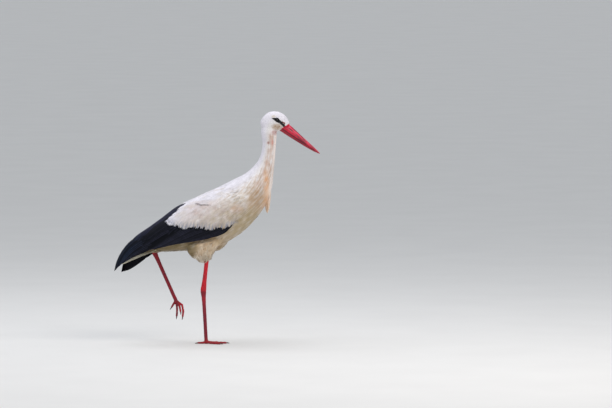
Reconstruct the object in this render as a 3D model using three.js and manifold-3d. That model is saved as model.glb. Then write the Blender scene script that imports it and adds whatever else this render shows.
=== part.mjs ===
// A life-size white stork in mid stride: it stands on its right foot and swings the left one forward.
// Millimetres. +X points the way the bird walks, +Y to its left, +Z up.
// The origin is the middle of the standing foot's sole.
import * as THREE from "three";
import { mergeVertices } from "three/addons/utils/BufferGeometryUtils.js";
import Module from "manifold-3d";

const wasm = await Module();
wasm.setup();

// ---- driving dimensions

const GAP = 0.3; // clearance between neighbouring pieces
const FOOT_INSET = 8; // how far the standing foot is to the right of the bird's mid-plane
const CUTTER = 2400; // edge of the boxes that cut the body into pieces

// Rows of stations: x, z, then the radii towards the back, the belly and the side.
const BODY_SIDES = 18;
const BODY = [
  [-252, 361, 6, 6, 9],
  [-226, 375, 18, 24, 25],
  [-190, 394, 36, 38, 40],
  [-150, 412, 56, 53, 57],
  [-75, 445, 80, 86, 80],
  [0, 482, 95, 110, 93],
  [78, 526, 91, 112, 96],
  [146, 572, 83, 93, 90],
  [194, 620, 66, 70, 71],
  [225, 677, 43, 41, 43],
  [240, 730, 28, 29.5, 29],
  [247, 785, 26.5, 26.5, 25],
  [249, 828, 35, 27, 26],
  [252, 860, 30, 20, 18],
];
const NECK_CUTS = { breast: [205, 640], lower: [238, 722], upper: [246.5, 778], head: [248.7, 822] };

const HEAD = [
  [213.5, 858, 7, 8, 7],
  [221, 860, 20, 24, 16],
  [240, 863, 37, 33, 23],
  [264, 866, 44, 37, 26],
  [288, 863, 40, 32, 24],
  [306, 857, 28, 23, 19],
  [320, 850, 13, 13, 13],
  [326, 847, 6, 7, 8],
];
const EYE = { x: 277, z: 876, y: 19.4, radius: 7 };

// The bill follows the line of the closed mouth, from the gape to the tip.
const GAPE = [298, 840];
const BILL_TIP = [444, 743];
const BILL_LENGTH = Math.hypot(BILL_TIP[0] - GAPE[0], BILL_TIP[1] - GAPE[1]);
// Rows: distance from the gape, height of the mandible, half width.
const UPPER_MANDIBLE = [
  [-14, 24, 11],
  [20, 27, 12.6],
  [45, 23.5, 11],
  [82, 17.5, 8.4],
  [119, 12, 6.2],
  [150, 7.2, 4.2],
  [167, 3.8, 2.6],
  [BILL_LENGTH, 1, 0.9],
];
const LOWER_MANDIBLE = [
  [-10, 11, 10.5],
  [20, 11, 12],
  [45, 10.4, 10.4],
  [82, 9.4, 7.9],
  [119, 7.8, 5.7],
  [150, 5.2, 3.8],
  [165, 2.8, 2.3],
  [BILL_LENGTH - 2, 0.9, 0.8],
];

// The folded wings together form a roof over the back; each is one half of it.
const WING_THICKNESS = 7;
const THINNEST_SHELL = 0.45; // share of a radius that is hollowed out where the roof is small
const WING_ROOF = [
  [-362, 281, 3, 3, 3],
  [-356, 286, 10, 9, 9],
  [-338, 299, 30, 27, 22],
  [-305, 322, 52, 44, 37],
  [-262, 352, 69, 58, 50],
  [-215, 381, 69, 74, 61],
  [-150, 412, 82, 92, 77],
  [-75, 445, 101, 108, 94],
  [0, 482, 100, 120, 106],
  [78, 526, 92, 121, 109],
  [146, 566, 78, 106, 104],
  [194, 606, 52, 80, 82],
];
// Outlines of the feather groups of a folded wing, seen from the side.
const WING_OUTLINES = {
  coverts: {
    smooth: true,
    points: [
      [-153, 482], [-112, 467], [-60, 463], [8, 456], [70, 462], [112, 478],
      [152, 506], [172, 552], [158, 588], [100, 596], [40, 572], [-10, 566], [-64, 556],
    ],
  },
  secondaries: {
    points: [
      [-156, 481], [-112, 480], [0, 480], [70, 480], [117, 481], [84, 445], [24, 417],
      [-35, 405], [-95, 393], [-135, 381], [-175, 365], [-215, 353], [-233, 346], [-207, 411],
    ],
  },
  tertials: {
    points: [
      [-156, 481], [-207, 411], [-238, 451], [-262, 520], [-100, 640], [-30, 620], [-30, 540], [-100, 500],
    ],
  },
  primaries: {
    points: [
      [-207, 411], [-233, 346], [-254, 333], [-294, 321], [-339, 286], [-380, 262], [-380, 460], [-262, 520],
      [-238, 451],
    ],
  },
};
// The left wing hangs a little lower and further forward than the right one.
const LEFT_WING = { pivot: [150, 0, 560], droop: 1.1, forward: 22 };

const TAIL = [
  [-140, 392, 8, 8, 20],
  [-200, 360, 9, 9, 24],
  [-250, 338, 7, 7, 28],
  [-300, 318, 5, 5, 28],
  [-328, 306.5, 3.5, 3.5, 26],
  [-335, 303.5, 1.5, 1.5, 20],
];

// The long feathers of the lower throat, which hang free in front of the breast.
const BREAST_PLUME = [
  [248, 606, 3, 12, 12],
  [247, 575, 6, 14, 18],
  [243.5, 545, 6, 11, 15],
  [240.5, 524, 4, 6, 8],
  [238.5, 511, 1.2, 1.2, 2.5],
];

// Leg joints, from the mid-plane: x, y, z.
const RIGHT_LEG = { knee: [17, -52, 451], ankle: [-10, -34, 211], foot: [0, -FOOT_INSET, 9] };
const LEFT_LEG = { knee: [30, 47, 402], ankle: [-205, 36.5, 361], foot: [-120, 33, 168] };
const LEG_SIDES = 10;
// Rows: share of the way down the bone, then the fore, aft and side radii.
const SHANK = [
  [0.36, 9, 9, 8.5],
  [0.5, 8.2, 8.4, 7.2],
  [0.7, 7.8, 8, 6.8],
  [0.86, 8.6, 9, 7.2],
  [0.95, 10.6, 11.2, 8.2],
  [1, 11, 11.6, 8.8],
];
const TARSUS = [
  [0, 11, 11.6, 8.8],
  [0.04, 10.6, 11.4, 8.6],
  [0.12, 8.2, 9, 7],
  [0.25, 7.2, 7.6, 6],
  [0.6, 6.9, 7.2, 5.6],
  [0.85, 6.8, 7, 5.8],
  [0.95, 7, 7, 7.2],
  [1, 7.6, 7.2, 8.4],
  [1.03, 6.8, 6.4, 7.8],
];
const SOLE_PAD = [1.07, 6.2, 6, 7]; // the standing foot's ball, cut flat by the floor

// The feathered thighs: x, y, z, then the fore, aft and side radii.
const THIGHS = {
  right: [
    [6, -48, 455, 80, 80, 36],
    [4, -52, 415, 66, 82, 38],
    [0, -50, 385, 50, 78, 34],
    [2, -47, 362, 34, 70, 27],
    [3, -44, 346, 22, 56, 19],
    [4, -42.5, 334, 15, 33, 13.5],
    [6, -42.5, 325, 10.5, 14, 10.5],
  ],
  left: [
    [60, 44, 436, 46, 46, 36],
    [28, 47, 405, 50, 56, 38],
    [-20, 47, 390, 36, 44, 32],
    [-60, 46, 382, 25, 30, 24],
    [-88, 45, 378, 16, 17, 15.5],
    [-100, 44.5, 376, 11, 11, 10.5],
  ],
};
// The wing's lower edge, over the thigh: a point on it and its rise.
const WING_HEMS = { right: { at: [24, 411], slope: 12 }, left: { at: [24, 404], slope: 14 } };

// Toes: phalanx lengths, the heading out of the foot, and how steeply each phalanx points down.
const CLAW_LENGTH = 12;
const TOE_RADIUS = { root: 5, knuckle: 4.7, waist: 3.9, tip: 3.9 };
const TOES = {
  middle: { bones: [32, 26, 22], rightHeading: 1, leftHeading: 4 },
  inner: { bones: [28, 24], rightHeading: 31, leftHeading: -20 },
  outer: { bones: [20, 18, 15, 12], rightHeading: -30, leftHeading: 28 },
  hallux: { bones: [14, 20], rightHeading: -172, leftHeading: 168 },
};
const STANDING_HEIGHT = 3.9; // height of a resting toe's middle line
const SWINGING_PITCH = { hallux: [62, 59, 56], inner: [55, 78, 88], middle: [38, 80, 97, 100], outer: [76, 86, 92, 96, 98] };

// ---- materials

const MATERIALS = {
  white: new THREE.MeshStandardMaterial({ color: 0xe9e4dc, roughness: 0.8 }),
  buff: new THREE.MeshStandardMaterial({ color: 0xb9a488, roughness: 0.85 }),
  black: new THREE.MeshStandardMaterial({ color: 0x10131a, roughness: 0.45 }),
  red: new THREE.MeshStandardMaterial({ color: 0xc01e38, roughness: 0.5 }),
  legs: new THREE.MeshStandardMaterial({ color: 0xb3202e, roughness: 0.55 }),
  claw: new THREE.MeshStandardMaterial({ color: 0x4a2f2c, roughness: 0.5 }),
  eye: new THREE.MeshStandardMaterial({ color: 0x0b0908, roughness: 0.08 }),
};

// ---- shapes

const SIDE_AXIS = new THREE.Vector3(0, 1, 0);

// A closed skin through rows of [x, y, z, up, down, side], with oval sections across its middle line.
function loft(rows, { sides = BODY_SIDES, steps = 2, grow = 0, least = 0 } = {}) {
  const middle = new THREE.CatmullRomCurve3(rows.map((r) => new THREE.Vector3(r[0], r[1], r[2])), false, "catmullrom");
  const radii = new THREE.CatmullRomCurve3(rows.map((r) => new THREE.Vector3(r[3], r[4], r[5])), false, "catmullrom");
  const rings = (rows.length - 1) * steps;
  const grown = (r) => (r === 0 ? 0 : Math.max(r + grow, least * r, 0.3));
  const positions = [];
  for (let i = 0; i <= rings; i++) {
    const at = middle.getPoint(i / rings);
    const along = middle.getTangent(i / rings);
    const across = SIDE_AXIS.clone().addScaledVector(along, -SIDE_AXIS.dot(along)).normalize();
    const up = along.clone().cross(across);
    const r = radii.getPoint(i / rings);
    for (let j = 0; j < sides; j++) {
      const turn = (2 * Math.PI * j) / sides;
      const rise = Math.sin(turn) * grown(turn < Math.PI ? r.x : r.y);
      const point = at.clone().addScaledVector(across, Math.cos(turn) * grown(r.z)).addScaledVector(up, rise);
      positions.push(point.x, point.y, point.z);
    }
  }
  const first = middle.getPoint(0);
  const last = middle.getPoint(1);
  positions.push(first.x, first.y, first.z, last.x, last.y, last.z);
  return solid(new THREE.BufferGeometry()
    .setAttribute("position", new THREE.Float32BufferAttribute(positions, 3))
    .setIndex(ringFaces(rings, sides)));
}

// Triangles between neighbouring rings, and a fan over each end.
function ringFaces(rings, sides) {
  const faces = [];
  const firstPole = (rings + 1) * sides;
  for (let j = 0; j < sides; j++) {
    const next = (j + 1) % sides;
    for (let i = 0; i < rings; i++) {
      const [a, b, c, d] = [i * sides + j, i * sides + next, (i + 1) * sides + j, (i + 1) * sides + next];
      faces.push(a, b, c, b, d, c);
    }
    faces.push(firstPole, next, j, firstPole + 1, rings * sides + j, rings * sides + next);
  }
  return faces;
}

// A three.js geometry as a solid that can be joined and cut.
function solid(geometry) {
  const bare = geometry.clone();
  bare.deleteAttribute("normal");
  bare.deleteAttribute("uv");
  const merged = mergeVertices(bare, 1e-4);
  return new wasm.Manifold(
    new wasm.Mesh({
      numProp: 3,
      vertProperties: new Float32Array(merged.attributes.position.array),
      triVerts: new Uint32Array(merged.index.array),
    }),
  );
}

// Everything ahead of a plane across the way given by an angle above +X, seen from the side.
function ahead([x, z], degrees, clearance = GAP / 2) {
  const angle = THREE.MathUtils.degToRad(degrees);
  const reach = CUTTER / 2 + clearance;
  return solid(new THREE.BoxGeometry(CUTTER, CUTTER, CUTTER)
    .rotateY(-angle)
    .translate(x + reach * Math.cos(angle), 0, z + reach * Math.sin(angle)));
}

// A side-view outline, as a prism on one side of the mid-plane.
function sidePrism({ points, smooth }, sign, place, grow = 0) {
  const box = new THREE.Box2().setFromPoints(points.map(([x, z]) => new THREE.Vector2(x, z)));
  const centre = box.getCenter(new THREE.Vector2());
  const half = box.getSize(new THREE.Vector2()).multiplyScalar(0.5);
  const corners = points.map(([x, z]) => new THREE.Vector2(
    centre.x + (x - centre.x) * (1 + grow / half.x),
    centre.y + (z - centre.y) * (1 + grow / half.y),
  ));
  const line = smooth ? new THREE.SplineCurve([...corners, corners[0]]).getPoints(corners.length * 2).slice(0, -1) : corners;
  const depth = CUTTER / 8;
  return solid(new THREE.ExtrudeGeometry(new THREE.Shape(line), { depth, bevelEnabled: false })
    .rotateX(Math.PI / 2)
    .translate(0, sign > 0 ? depth + GAP / 2 : -GAP / 2, 0)
    .applyMatrix4(place));
}

const flat = (rows) => rows.map(([x, z, ...radii]) => [x, 0, z, ...radii]);

const model = new THREE.Group();

function add(name, made, material) {
  const { numProp, numVert, vertProperties, triVerts } = made.getMesh();
  const positions = new Float32Array(numVert * 3);
  for (let i = 0; i < numVert; i++) positions.set(vertProperties.subarray(i * numProp, i * numProp + 3), i * 3);
  const geometry = new THREE.BufferGeometry()
    .setAttribute("position", new THREE.BufferAttribute(positions, 3))
    .setIndex(new THREE.BufferAttribute(new Uint32Array(triVerts), 1));
  geometry.computeVertexNormals();
  const mesh = new THREE.Mesh(geometry, material);
  mesh.name = name;
  model.add(mesh);
  return made;
}

// ---- head, neck and trunk: one smooth body, parted by thin cuts

const bodyLoft = loft(flat(BODY));
const bodyCutter = loft(flat(BODY), { grow: GAP });
const headLoft = loft(flat(HEAD), { sides: 16 });
const headCutter = loft(flat(HEAD), { sides: 16, grow: GAP });

function eyeball(sign, grow = 0) {
  return solid(new THREE.SphereGeometry(EYE.radius + grow, 12, 8).translate(EYE.x, sign * EYE.y, EYE.z));
}

function makeBody() {
  const whole = bodyLoft.add(headLoft);
  const cuts = [
    ["trunk", null, [NECK_CUTS.breast, 56]],
    ["neck_lower", [NECK_CUTS.breast, 56], [NECK_CUTS.lower, 77]],
    ["neck_middle", [NECK_CUTS.lower, 77], [NECK_CUTS.upper, 84]],
    ["neck_upper", [NECK_CUTS.upper, 84], [NECK_CUTS.head, 88]],
    ["head", [NECK_CUTS.head, 88], null],
  ];
  for (const [name, from, to] of cuts) {
    let piece = whole;
    if (from) piece = piece.intersect(ahead(...from));
    if (to) piece = piece.intersect(ahead(to[0], to[1] + 180));
    if (name === "head") piece = piece.subtract(eyeball(1, GAP)).subtract(eyeball(-1, GAP));
    add(name, piece, MATERIALS.white);
  }
}

function makeEyes() {
  add("eye_right", eyeball(-1), MATERIALS.eye);
  add("eye_left", eyeball(1), MATERIALS.eye);
}

// One mandible: a half oval on the line of the mouth, opening up (side 1) or down (side -1).
function mandible(rows, side) {
  const way = new THREE.Vector2(BILL_TIP[0] - GAPE[0], BILL_TIP[1] - GAPE[1]).normalize();
  const offset = (side * GAP) / 2;
  const placed = rows.map(([s, height, width]) => [
    GAPE[0] + way.x * s - way.y * offset,
    0,
    GAPE[1] + way.y * s + way.x * offset,
    side > 0 ? height : 0,
    side > 0 ? 0 : height,
    width,
  ]);
  return loft(placed, { sides: 14, steps: 1 });
}

function makeBill() {
  add("bill_upper", mandible(UPPER_MANDIBLE, 1).subtract(headCutter).subtract(bodyCutter), MATERIALS.red);
  add("bill_lower", mandible(LOWER_MANDIBLE, -1).subtract(headCutter).subtract(bodyCutter), MATERIALS.red);
}

function makeBreastPlume() {
  add("breast_plume", loft(flat(BREAST_PLUME), { sides: 10 }).subtract(bodyCutter), MATERIALS.buff);
}

// ---- wings and tail

const tailCutter = loft(flat(TAIL), { sides: 14, steps: 1, grow: GAP });

function makeTail() {
  add("tail", loft(flat(TAIL), { sides: 14, steps: 1 }).subtract(bodyCutter), MATERIALS.white);
}

function wingPlace(sign) {
  if (sign < 0) return new THREE.Matrix4();
  const [x, y, z] = LEFT_WING.pivot;
  const droop = THREE.MathUtils.degToRad(-LEFT_WING.droop);
  return new THREE.Matrix4()
    .makeTranslation(x + LEFT_WING.forward, y, z)
    .multiply(new THREE.Matrix4().makeRotationY(droop))
    .multiply(new THREE.Matrix4().makeTranslation(-x, -y, -z));
}

// Rows of a loft, moved as a wing is.
function moved(rows, place) {
  return flat(rows).map(([x, y, z, ...radii]) => [...new THREE.Vector3(x, y, z).applyMatrix4(place).toArray(), ...radii]);
}

function makeWing(side, sign) {
  const place = wingPlace(sign);
  const roof = loft(moved(WING_ROOF, place)).subtract(bodyCutter);
  const hollow = loft(moved(WING_ROOF, place), { sides: 14, grow: -WING_THICKNESS, least: THINNEST_SHELL });
  const shell = roof.subtract(hollow).subtract(tailCutter);
  const coverts = roof.intersect(sidePrism(WING_OUTLINES.coverts, sign, place));
  add(`wing_${side}_coverts`, largest(coverts), MATERIALS.white);
  const flight = shell.subtract(sidePrism(WING_OUTLINES.coverts, sign, place, 2 * GAP));
  for (const group of ["secondaries", "tertials", "primaries"]) {
    const feathers = flight.intersect(sidePrism(WING_OUTLINES[group], sign, place, -GAP));
    add(`wing_${side}_${group}`, largest(feathers), MATERIALS.black);
  }
}

// The biggest separate body of a solid: a cut along a curved shell leaves crumbs.
function largest(made) {
  return made.decompose().reduce((a, b) => (a.volume() > b.volume() ? a : b));
}

// ---- legs

const onBone = (from, to, share) => from.map((v, i) => v + (to[i] - v) * share);
const boneRows = (rows, from, to) => rows.map(([share, ...radii]) => [...onBone(from, to, share), ...radii]);
const floorCutter = solid(new THREE.BoxGeometry(CUTTER, CUTTER, CUTTER).translate(0, 0, -CUTTER / 2));

function makeThigh(side, shank) {
  const hem = WING_HEMS[side];
  const thigh = loft(THIGHS[side], { sides: 12 })
    .intersect(ahead(hem.at, hem.slope - 90, 1))
    .subtract(bodyCutter)
    .subtract(shank);
  add(`thigh_${side}`, largest(thigh), MATERIALS.buff);
}

// The middle line of a toe: it leaves the foot at a heading and bends down at each knuckle.
function toeLine(start, heading, bones, pitches) {
  const turn = THREE.MathUtils.degToRad(heading);
  const line = [start];
  bones.forEach((length, i) => {
    const pitch = THREE.MathUtils.degToRad(pitches[i]);
    const [x, y, z] = line[line.length - 1];
    const level = length * Math.cos(pitch);
    line.push([x + level * Math.cos(turn), y + level * Math.sin(turn), z - length * Math.sin(pitch)]);
  });
  return line;
}

// Rows along a toe: full at its knuckles and slim between them.
function toeRows(line) {
  const rows = [];
  line.slice(0, -1).forEach((from, i) => {
    const to = line[i + 1];
    const last = i === line.length - 2;
    const here = i === 0 ? TOE_RADIUS.root : TOE_RADIUS.knuckle - 0.15 * i;
    const waist = TOE_RADIUS.waist - 0.1 * i;
    rows.push([...from, here, here, here]);
    rows.push([...onBone(from, to, 0.5), waist, waist, waist]);
    if (last) {
      rows.push([...onBone(from, to, 0.9), TOE_RADIUS.tip, TOE_RADIUS.tip, TOE_RADIUS.tip]);
      rows.push([...to, TOE_RADIUS.tip - 1.4, TOE_RADIUS.tip - 1.4, TOE_RADIUS.tip - 1.4]);
    }
  });
  return rows;
}

function makeToes(side, foot, standing, hub) {
  let taken = hub;
  for (const [toe, { bones, rightHeading, leftHeading }] of Object.entries(TOES)) {
    const drop = (180 / Math.PI) * Math.asin((foot[2] - STANDING_HEIGHT) / bones[0]);
    const pitches = standing ? [drop, 0, 0, 0, 6] : SWINGING_PITCH[toe];
    const heading = standing ? rightHeading : leftHeading;
    const line = toeLine(foot, heading, bones, pitches);
    const tip = line[line.length - 1];
    const clawPitch = standing ? 8 : pitches[bones.length];
    const clawEnd = toeLine(tip, heading, [CLAW_LENGTH], [clawPitch])[1];
    const claw = loft(
      [[...onBone(tip, clawEnd, -0.1), 2.7, 2.3, 2.6], [...onBone(tip, clawEnd, 0.5), 2.1, 1.7, 2], [...clawEnd, 0.6, 0.6, 0.7]],
      { sides: 8, steps: 1 },
    );
    const fleshy = loft(toeRows(line), { sides: 8, steps: 1 });
    const fleshCutter = loft(toeRows(line), { sides: 8, steps: 1, grow: GAP });
    let flesh = fleshy.subtract(taken);
    taken = taken.add(fleshCutter);
    let horn = claw.subtract(fleshCutter);
    if (standing) {
      flesh = flesh.subtract(floorCutter);
      horn = horn.subtract(floorCutter);
    }
    add(`toe_${side}_${toe}`, largest(flesh), MATERIALS.legs);
    add(`claw_${side}_${toe}`, largest(horn), MATERIALS.claw);
  }
}

function makeLeg(side, { knee, ankle, foot }, standing) {
  const shankRows = boneRows(SHANK, knee, ankle);
  const tarsusRows = boneRows(standing ? [...TARSUS, SOLE_PAD] : TARSUS, ankle, foot);
  const leg = (rows, grow = 0) => loft(rows, { sides: LEG_SIDES, steps: 1, grow });
  makeThigh(side, leg(shankRows, GAP));
  const ankleCut = 0.4 * GAP;
  const shank = leg(shankRows).subtract(bodyCutter).subtract(leg(tarsusRows, ankleCut));
  add(`shank_${side}`, largest(shank), MATERIALS.legs);
  const tarsus = leg(tarsusRows);
  add(`tarsus_${side}`, standing ? tarsus.subtract(floorCutter) : tarsus, MATERIALS.legs);
  makeToes(side, foot, standing, leg(tarsusRows, GAP));
}

makeBody();
makeEyes();
makeBill();
makeBreastPlume();
makeTail();
makeWing("right", -1);
makeWing("left", 1);
makeLeg("right", RIGHT_LEG, true);
makeLeg("left", LEFT_LEG, false);

model.position.set(0, FOOT_INSET, 0);

export default model;
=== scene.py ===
"""A white stork in mid-stride, life size: its skin, plumage, bill, eyes, legs and claws."""

import math

import bmesh
import bpy
import numpy as np
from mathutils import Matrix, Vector
from mathutils.bvhtree import BVHTree


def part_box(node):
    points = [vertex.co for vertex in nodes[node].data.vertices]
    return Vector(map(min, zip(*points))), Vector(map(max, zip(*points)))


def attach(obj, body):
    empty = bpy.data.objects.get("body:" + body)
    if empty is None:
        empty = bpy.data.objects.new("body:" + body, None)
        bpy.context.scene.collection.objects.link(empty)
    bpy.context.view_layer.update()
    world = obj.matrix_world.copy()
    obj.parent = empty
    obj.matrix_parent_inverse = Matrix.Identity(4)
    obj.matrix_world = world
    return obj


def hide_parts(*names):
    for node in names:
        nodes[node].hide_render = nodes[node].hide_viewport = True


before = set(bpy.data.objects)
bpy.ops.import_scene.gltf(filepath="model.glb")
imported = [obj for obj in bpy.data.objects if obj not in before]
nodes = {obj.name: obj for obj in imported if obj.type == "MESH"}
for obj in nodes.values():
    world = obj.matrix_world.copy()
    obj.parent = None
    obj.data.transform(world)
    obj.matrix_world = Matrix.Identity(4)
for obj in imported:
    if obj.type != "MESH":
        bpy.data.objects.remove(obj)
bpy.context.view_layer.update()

MM = 0.001
SIDES = ("right", "left")
TOES = ("middle", "inner", "outer", "hallux")
trunk_low, trunk_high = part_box("trunk")
MIDDLE = (trunk_low.y + trunk_high.y) / 2  # the stork is symmetrical about this plane

# Middle line of the bird, seen from the side (x, z): bill base, crown, neck, back, tail.
CENTRE_LINE = np.array([
    (322, 852), (306, 857), (288, 862), (268, 862), (253, 850), (248, 828), (247, 785), (240, 730),
    (225, 677), (194, 620), (146, 572), (78, 526), (0, 482), (-75, 445), (-150, 412), (-252, 361),
    (-335, 305),
]) * MM
HEAD_END = 0.10  # distances along that line, from the bill base
NECK_END = 0.28
BREAST_END = 0.42
RUMP = 0.80

# The folded wings form a roof: x, z, height above that line, depth below it, half width.
WING_ROOF = np.array([
    (-362, 281, 3, 3, 3), (-356, 286, 10, 9, 9), (-338, 299, 30, 27, 22), (-305, 322, 52, 44, 37),
    (-262, 352, 69, 58, 50), (-215, 381, 69, 74, 61), (-150, 412, 82, 92, 77), (-75, 445, 101, 108, 94),
    (0, 482, 100, 120, 106), (78, 526, 92, 121, 109), (146, 566, 78, 106, 104), (194, 606, 52, 80, 82),
]) * MM
WHITE_WING = np.array([  # outline of the white part of a folded wing
    (-153, 482), (-112, 467), (-60, 463), (8, 456), (70, 462), (112, 478), (152, 506),
    (172, 552), (158, 588), (100, 596), (40, 572), (-10, 566), (-64, 556),
]) * MM
BLACK_WING = np.array([  # outline of the black part
    (-156, 481), (0, 480), (117, 481), (84, 445), (24, 417), (-35, 405), (-95, 393), (-175, 365),
    (-254, 333), (-339, 286), (-380, 262), (-380, 460), (-262, 520), (-100, 640), (-30, 620), (-30, 540),
]) * MM
FAR_WING_SLIP = 22 * MM  # the far wing is folded this much further forward
FAR_WING_DROOP = math.radians(1.1)
FAR_WING_PIVOT = np.array([-150, 560]) * MM

EYE = np.array([277, 876]) * MM
EYE_RADIUS = 8.2 * MM
EYE_DEPTH = 15.6 * MM  # from the middle plane to the centre of an eyeball
EYE_SLANT = math.radians(-22)
GAPE = np.array([298, 840]) * MM
BILL_TIP = np.array([444, 743]) * MM

FACE_FROM = 0.2  # the face lies in front of this x
RED_FROM = 0.294  # and the red skin in front of this one
WING_FROM = 0.04  # the folded wings lie further than this from the middle plane
VANE_MAP = (0.1, 0.4)  # metres across and along a vane that its map's unit square stands for

THIGH = {"right": ((6, -48, 455), (6, -42, 325)), "left": ((60, 44, 436), (-100, 44.5, 376))}


# ---------------------------------------------------------------- numbers

def unit(vectors):
    return vectors / np.maximum(np.linalg.norm(vectors, axis=-1, keepdims=True), 1e-12)


def mix(a, b, share):
    return a + (b - a) * share


def fade(start, end, value):
    """0 at start, 1 at end, with a smooth change between."""
    t = np.clip((value - start) / (end - start), 0, 1)
    return t * t * (3 - 2 * t)


def spline(rows, per_span):
    """Rows of a Catmull-Rom curve through the rows given, the same number on each span."""
    rows = np.asarray(rows, float)
    held = np.vstack([2 * rows[0] - rows[1], rows, 2 * rows[-1] - rows[-2]])
    t = (np.arange(per_span) / per_span)[:, None]
    spans = []
    for a, b, c, d in zip(held, held[1:], held[2:], held[3:]):
        spans.append(b + t * ((c - a) + t * ((2 * a - 5 * b + 4 * c - d) + t * (3 * b - a - 3 * c + d))) / 2)
    return np.vstack(spans + [rows[-1:]])


def ripple(places, size, seed):
    """A smooth random value of about -1 to 1 over the places, with features of the size given."""
    source = np.random.default_rng(seed)
    places = np.atleast_2d(places)
    waves = source.normal(size=(places.shape[1], 11)) / size * 3
    return np.sin(places @ waves + source.uniform(0, 2 * math.pi, 11)).sum(1) / 3.4


def linear(colour):
    """Display colour to scene-linear colour."""
    c = np.clip(np.asarray(colour, float), 0, 1)
    return np.where(c <= 0.04045, c / 12.92, ((c + 0.055) / 1.055) ** 2.4)


def inside(outline, places):
    """Which places (x, z) lie in the closed outline."""
    x, z = places[:, 0], places[:, 1]
    found = np.zeros(len(places), bool)
    for (x0, z0), (x1, z1) in zip(outline, np.roll(outline, -1, 0)):
        if z0 == z1:
            continue
        found ^= ((z0 > z) != (z1 > z)) & (x < (x1 - x0) * (z - z0) / (z1 - z0) + x0)
    return found


def gap_to_line(places, points, radii):
    """Distance of the places from a tapered line through the points; negative inside it."""
    best = np.full(len(places), 1e9)
    for a, b, r0, r1 in zip(points[:-1], points[1:], radii[:-1], radii[1:]):
        ab = np.asarray(b, float) - a
        t = np.clip(((places - a) @ ab) / (ab @ ab), 0, 1)
        best = np.minimum(best, np.linalg.norm(places - a - t[:, None] * ab, axis=1) - mix(r0, r1, t))
    return best


# ---------------------------------------------------------------- where things are on the bird

LINE = spline(CENTRE_LINE, 10)
LINE_ALONG = unit(np.gradient(LINE, axis=0))
LINE_DORSAL = np.stack([LINE_ALONG[:, 1], -LINE_ALONG[:, 0]], 1)
LINE_AT = np.concatenate([[0], np.cumsum(np.linalg.norm(np.diff(LINE, axis=0), axis=1))])


def station(p):
    """For points p: distance along the middle line, height to the dorsal side, distance to the left."""
    side_view = p[:, [0, 2]]
    at, height = np.empty(len(p)), np.empty(len(p))
    for part in np.array_split(np.arange(len(p)), max(1, len(p) // 20000)):
        gaps = np.linalg.norm(side_view[part, None] - LINE[None], axis=2)
        near = gaps.argmin(1)
        offset = side_view[part] - LINE[near]
        at[part] = LINE_AT[near] + (offset * LINE_ALONG[near]).sum(1)
        height[part] = (offset * LINE_DORSAL[near]).sum(1)
    return at, height, p[:, 1] - MIDDLE


def on_leg(point):
    return np.array([point[0], point[1] + MIDDLE / MM, point[2]]) * MM


def thigh_share(p, side):
    """1 on a thigh, 0 away from it."""
    a, b = (on_leg(point) for point in THIGH[side])
    t = np.clip(((p - a) @ (b - a)) / ((b - a) @ (b - a)), 0, 1)
    gap = np.linalg.norm(p - a - t[:, None] * (b - a), axis=1)
    top = 0.43 if side == "right" else 0.415
    return fade(0.062, 0.04, gap) * fade(top, top - 0.04, p[:, 2])


def both_thighs(p):
    """1 on either thigh, 0 away from them."""
    return np.maximum(thigh_share(p, "right"), thigh_share(p, "left"))


def white_wing_share(p):
    return inside(WHITE_WING, p[:, [0, 2]]) & (np.abs(p[:, 1] - MIDDLE) > WING_FROM)


def white_wing_edge(p):
    """Distance of points p, seen from the side, from the outline of the white of a wing."""
    outline = np.vstack([WHITE_WING, WHITE_WING[:1]])
    return gap_to_line(p[:, [0, 2]], outline, np.zeros(len(outline)))


FRINGE = np.array([(-160, 488), (-115, 470), (-59, 468), (-10, 467), (34, 462), (72, 468), (118, 482)]) * MM


def fringe_gap(side_view):
    """Height above the ragged lower edge of the white."""
    edge = spline(FRINGE, 10)
    return side_view[:, 1] - np.interp(side_view[:, 0], edge[:, 0], edge[:, 1])


def under_fringe(p, above, below):
    """Where points p lie behind the border of the wing's white and black."""
    gap = fringe_gap(p[:, [0, 2]])
    wing = (np.abs(p[:, 1] - MIDDLE) > WING_FROM) & (p[:, 0] > -0.165) & (p[:, 0] < 0.1)
    return wing & (gap < above) & (gap > -below)


def lie(p):
    """The direction in which the plumage lies at points p."""
    direction = np.empty_like(p)
    for part in np.array_split(np.arange(len(p)), max(1, len(p) // 20000)):
        gaps = np.linalg.norm(p[part][:, None, [0, 2]] - LINE[None], axis=2)
        weight = 1 / (gaps ** 2 + 0.02 ** 2) ** 2
        mean = weight @ LINE_ALONG
        direction[part] = np.stack([mean[:, 0], np.zeros(len(part)), mean[:, 1]], 1)
    direction = unit(direction)
    edge = white_wing_edge(p)
    wing = fade(-16 * MM, 30 * MM, np.where(white_wing_share(p), edge, -edge))[:, None]
    direction = unit(mix(direction, unit(np.array([-0.86, 0, -0.5])), wing))
    direction = unit(mix(direction, np.array([0.05, 0, -1]), thigh_share(p, "right")[:, None]))
    return unit(mix(direction, np.array([-0.93, 0, -0.34]), thigh_share(p, "left")[:, None]))


FACE_LINE = np.array([(258, 883), (268, 880), (278, 876), (291, 867), (301, 856), (303, 852)]) * MM
FACE_RADII = np.array([1.2, 5.2, 8.6, 5.6, 4.2, 3.4]) * MM
LORE_LINE = np.array([(297, 868), (304, 865), (309, 862)]) * MM
LORE_RADII = np.array([2.8, 3.4, 3.0]) * MM
BASE_LINE = np.array([(304, 856), (306, 852)]) * MM  # dark bare skin by the base of the bill
BASE_RADII = np.array([5.5, 5.0]) * MM
RED_EDGE = np.array([(293, 842), (324, 861)]) * MM  # in front of this line the skin is red like the bill
CHIN_LINE = np.array([(282, 829), (296, 829)]) * MM
CHIN_RADII = np.array([3, 5]) * MM


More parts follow.
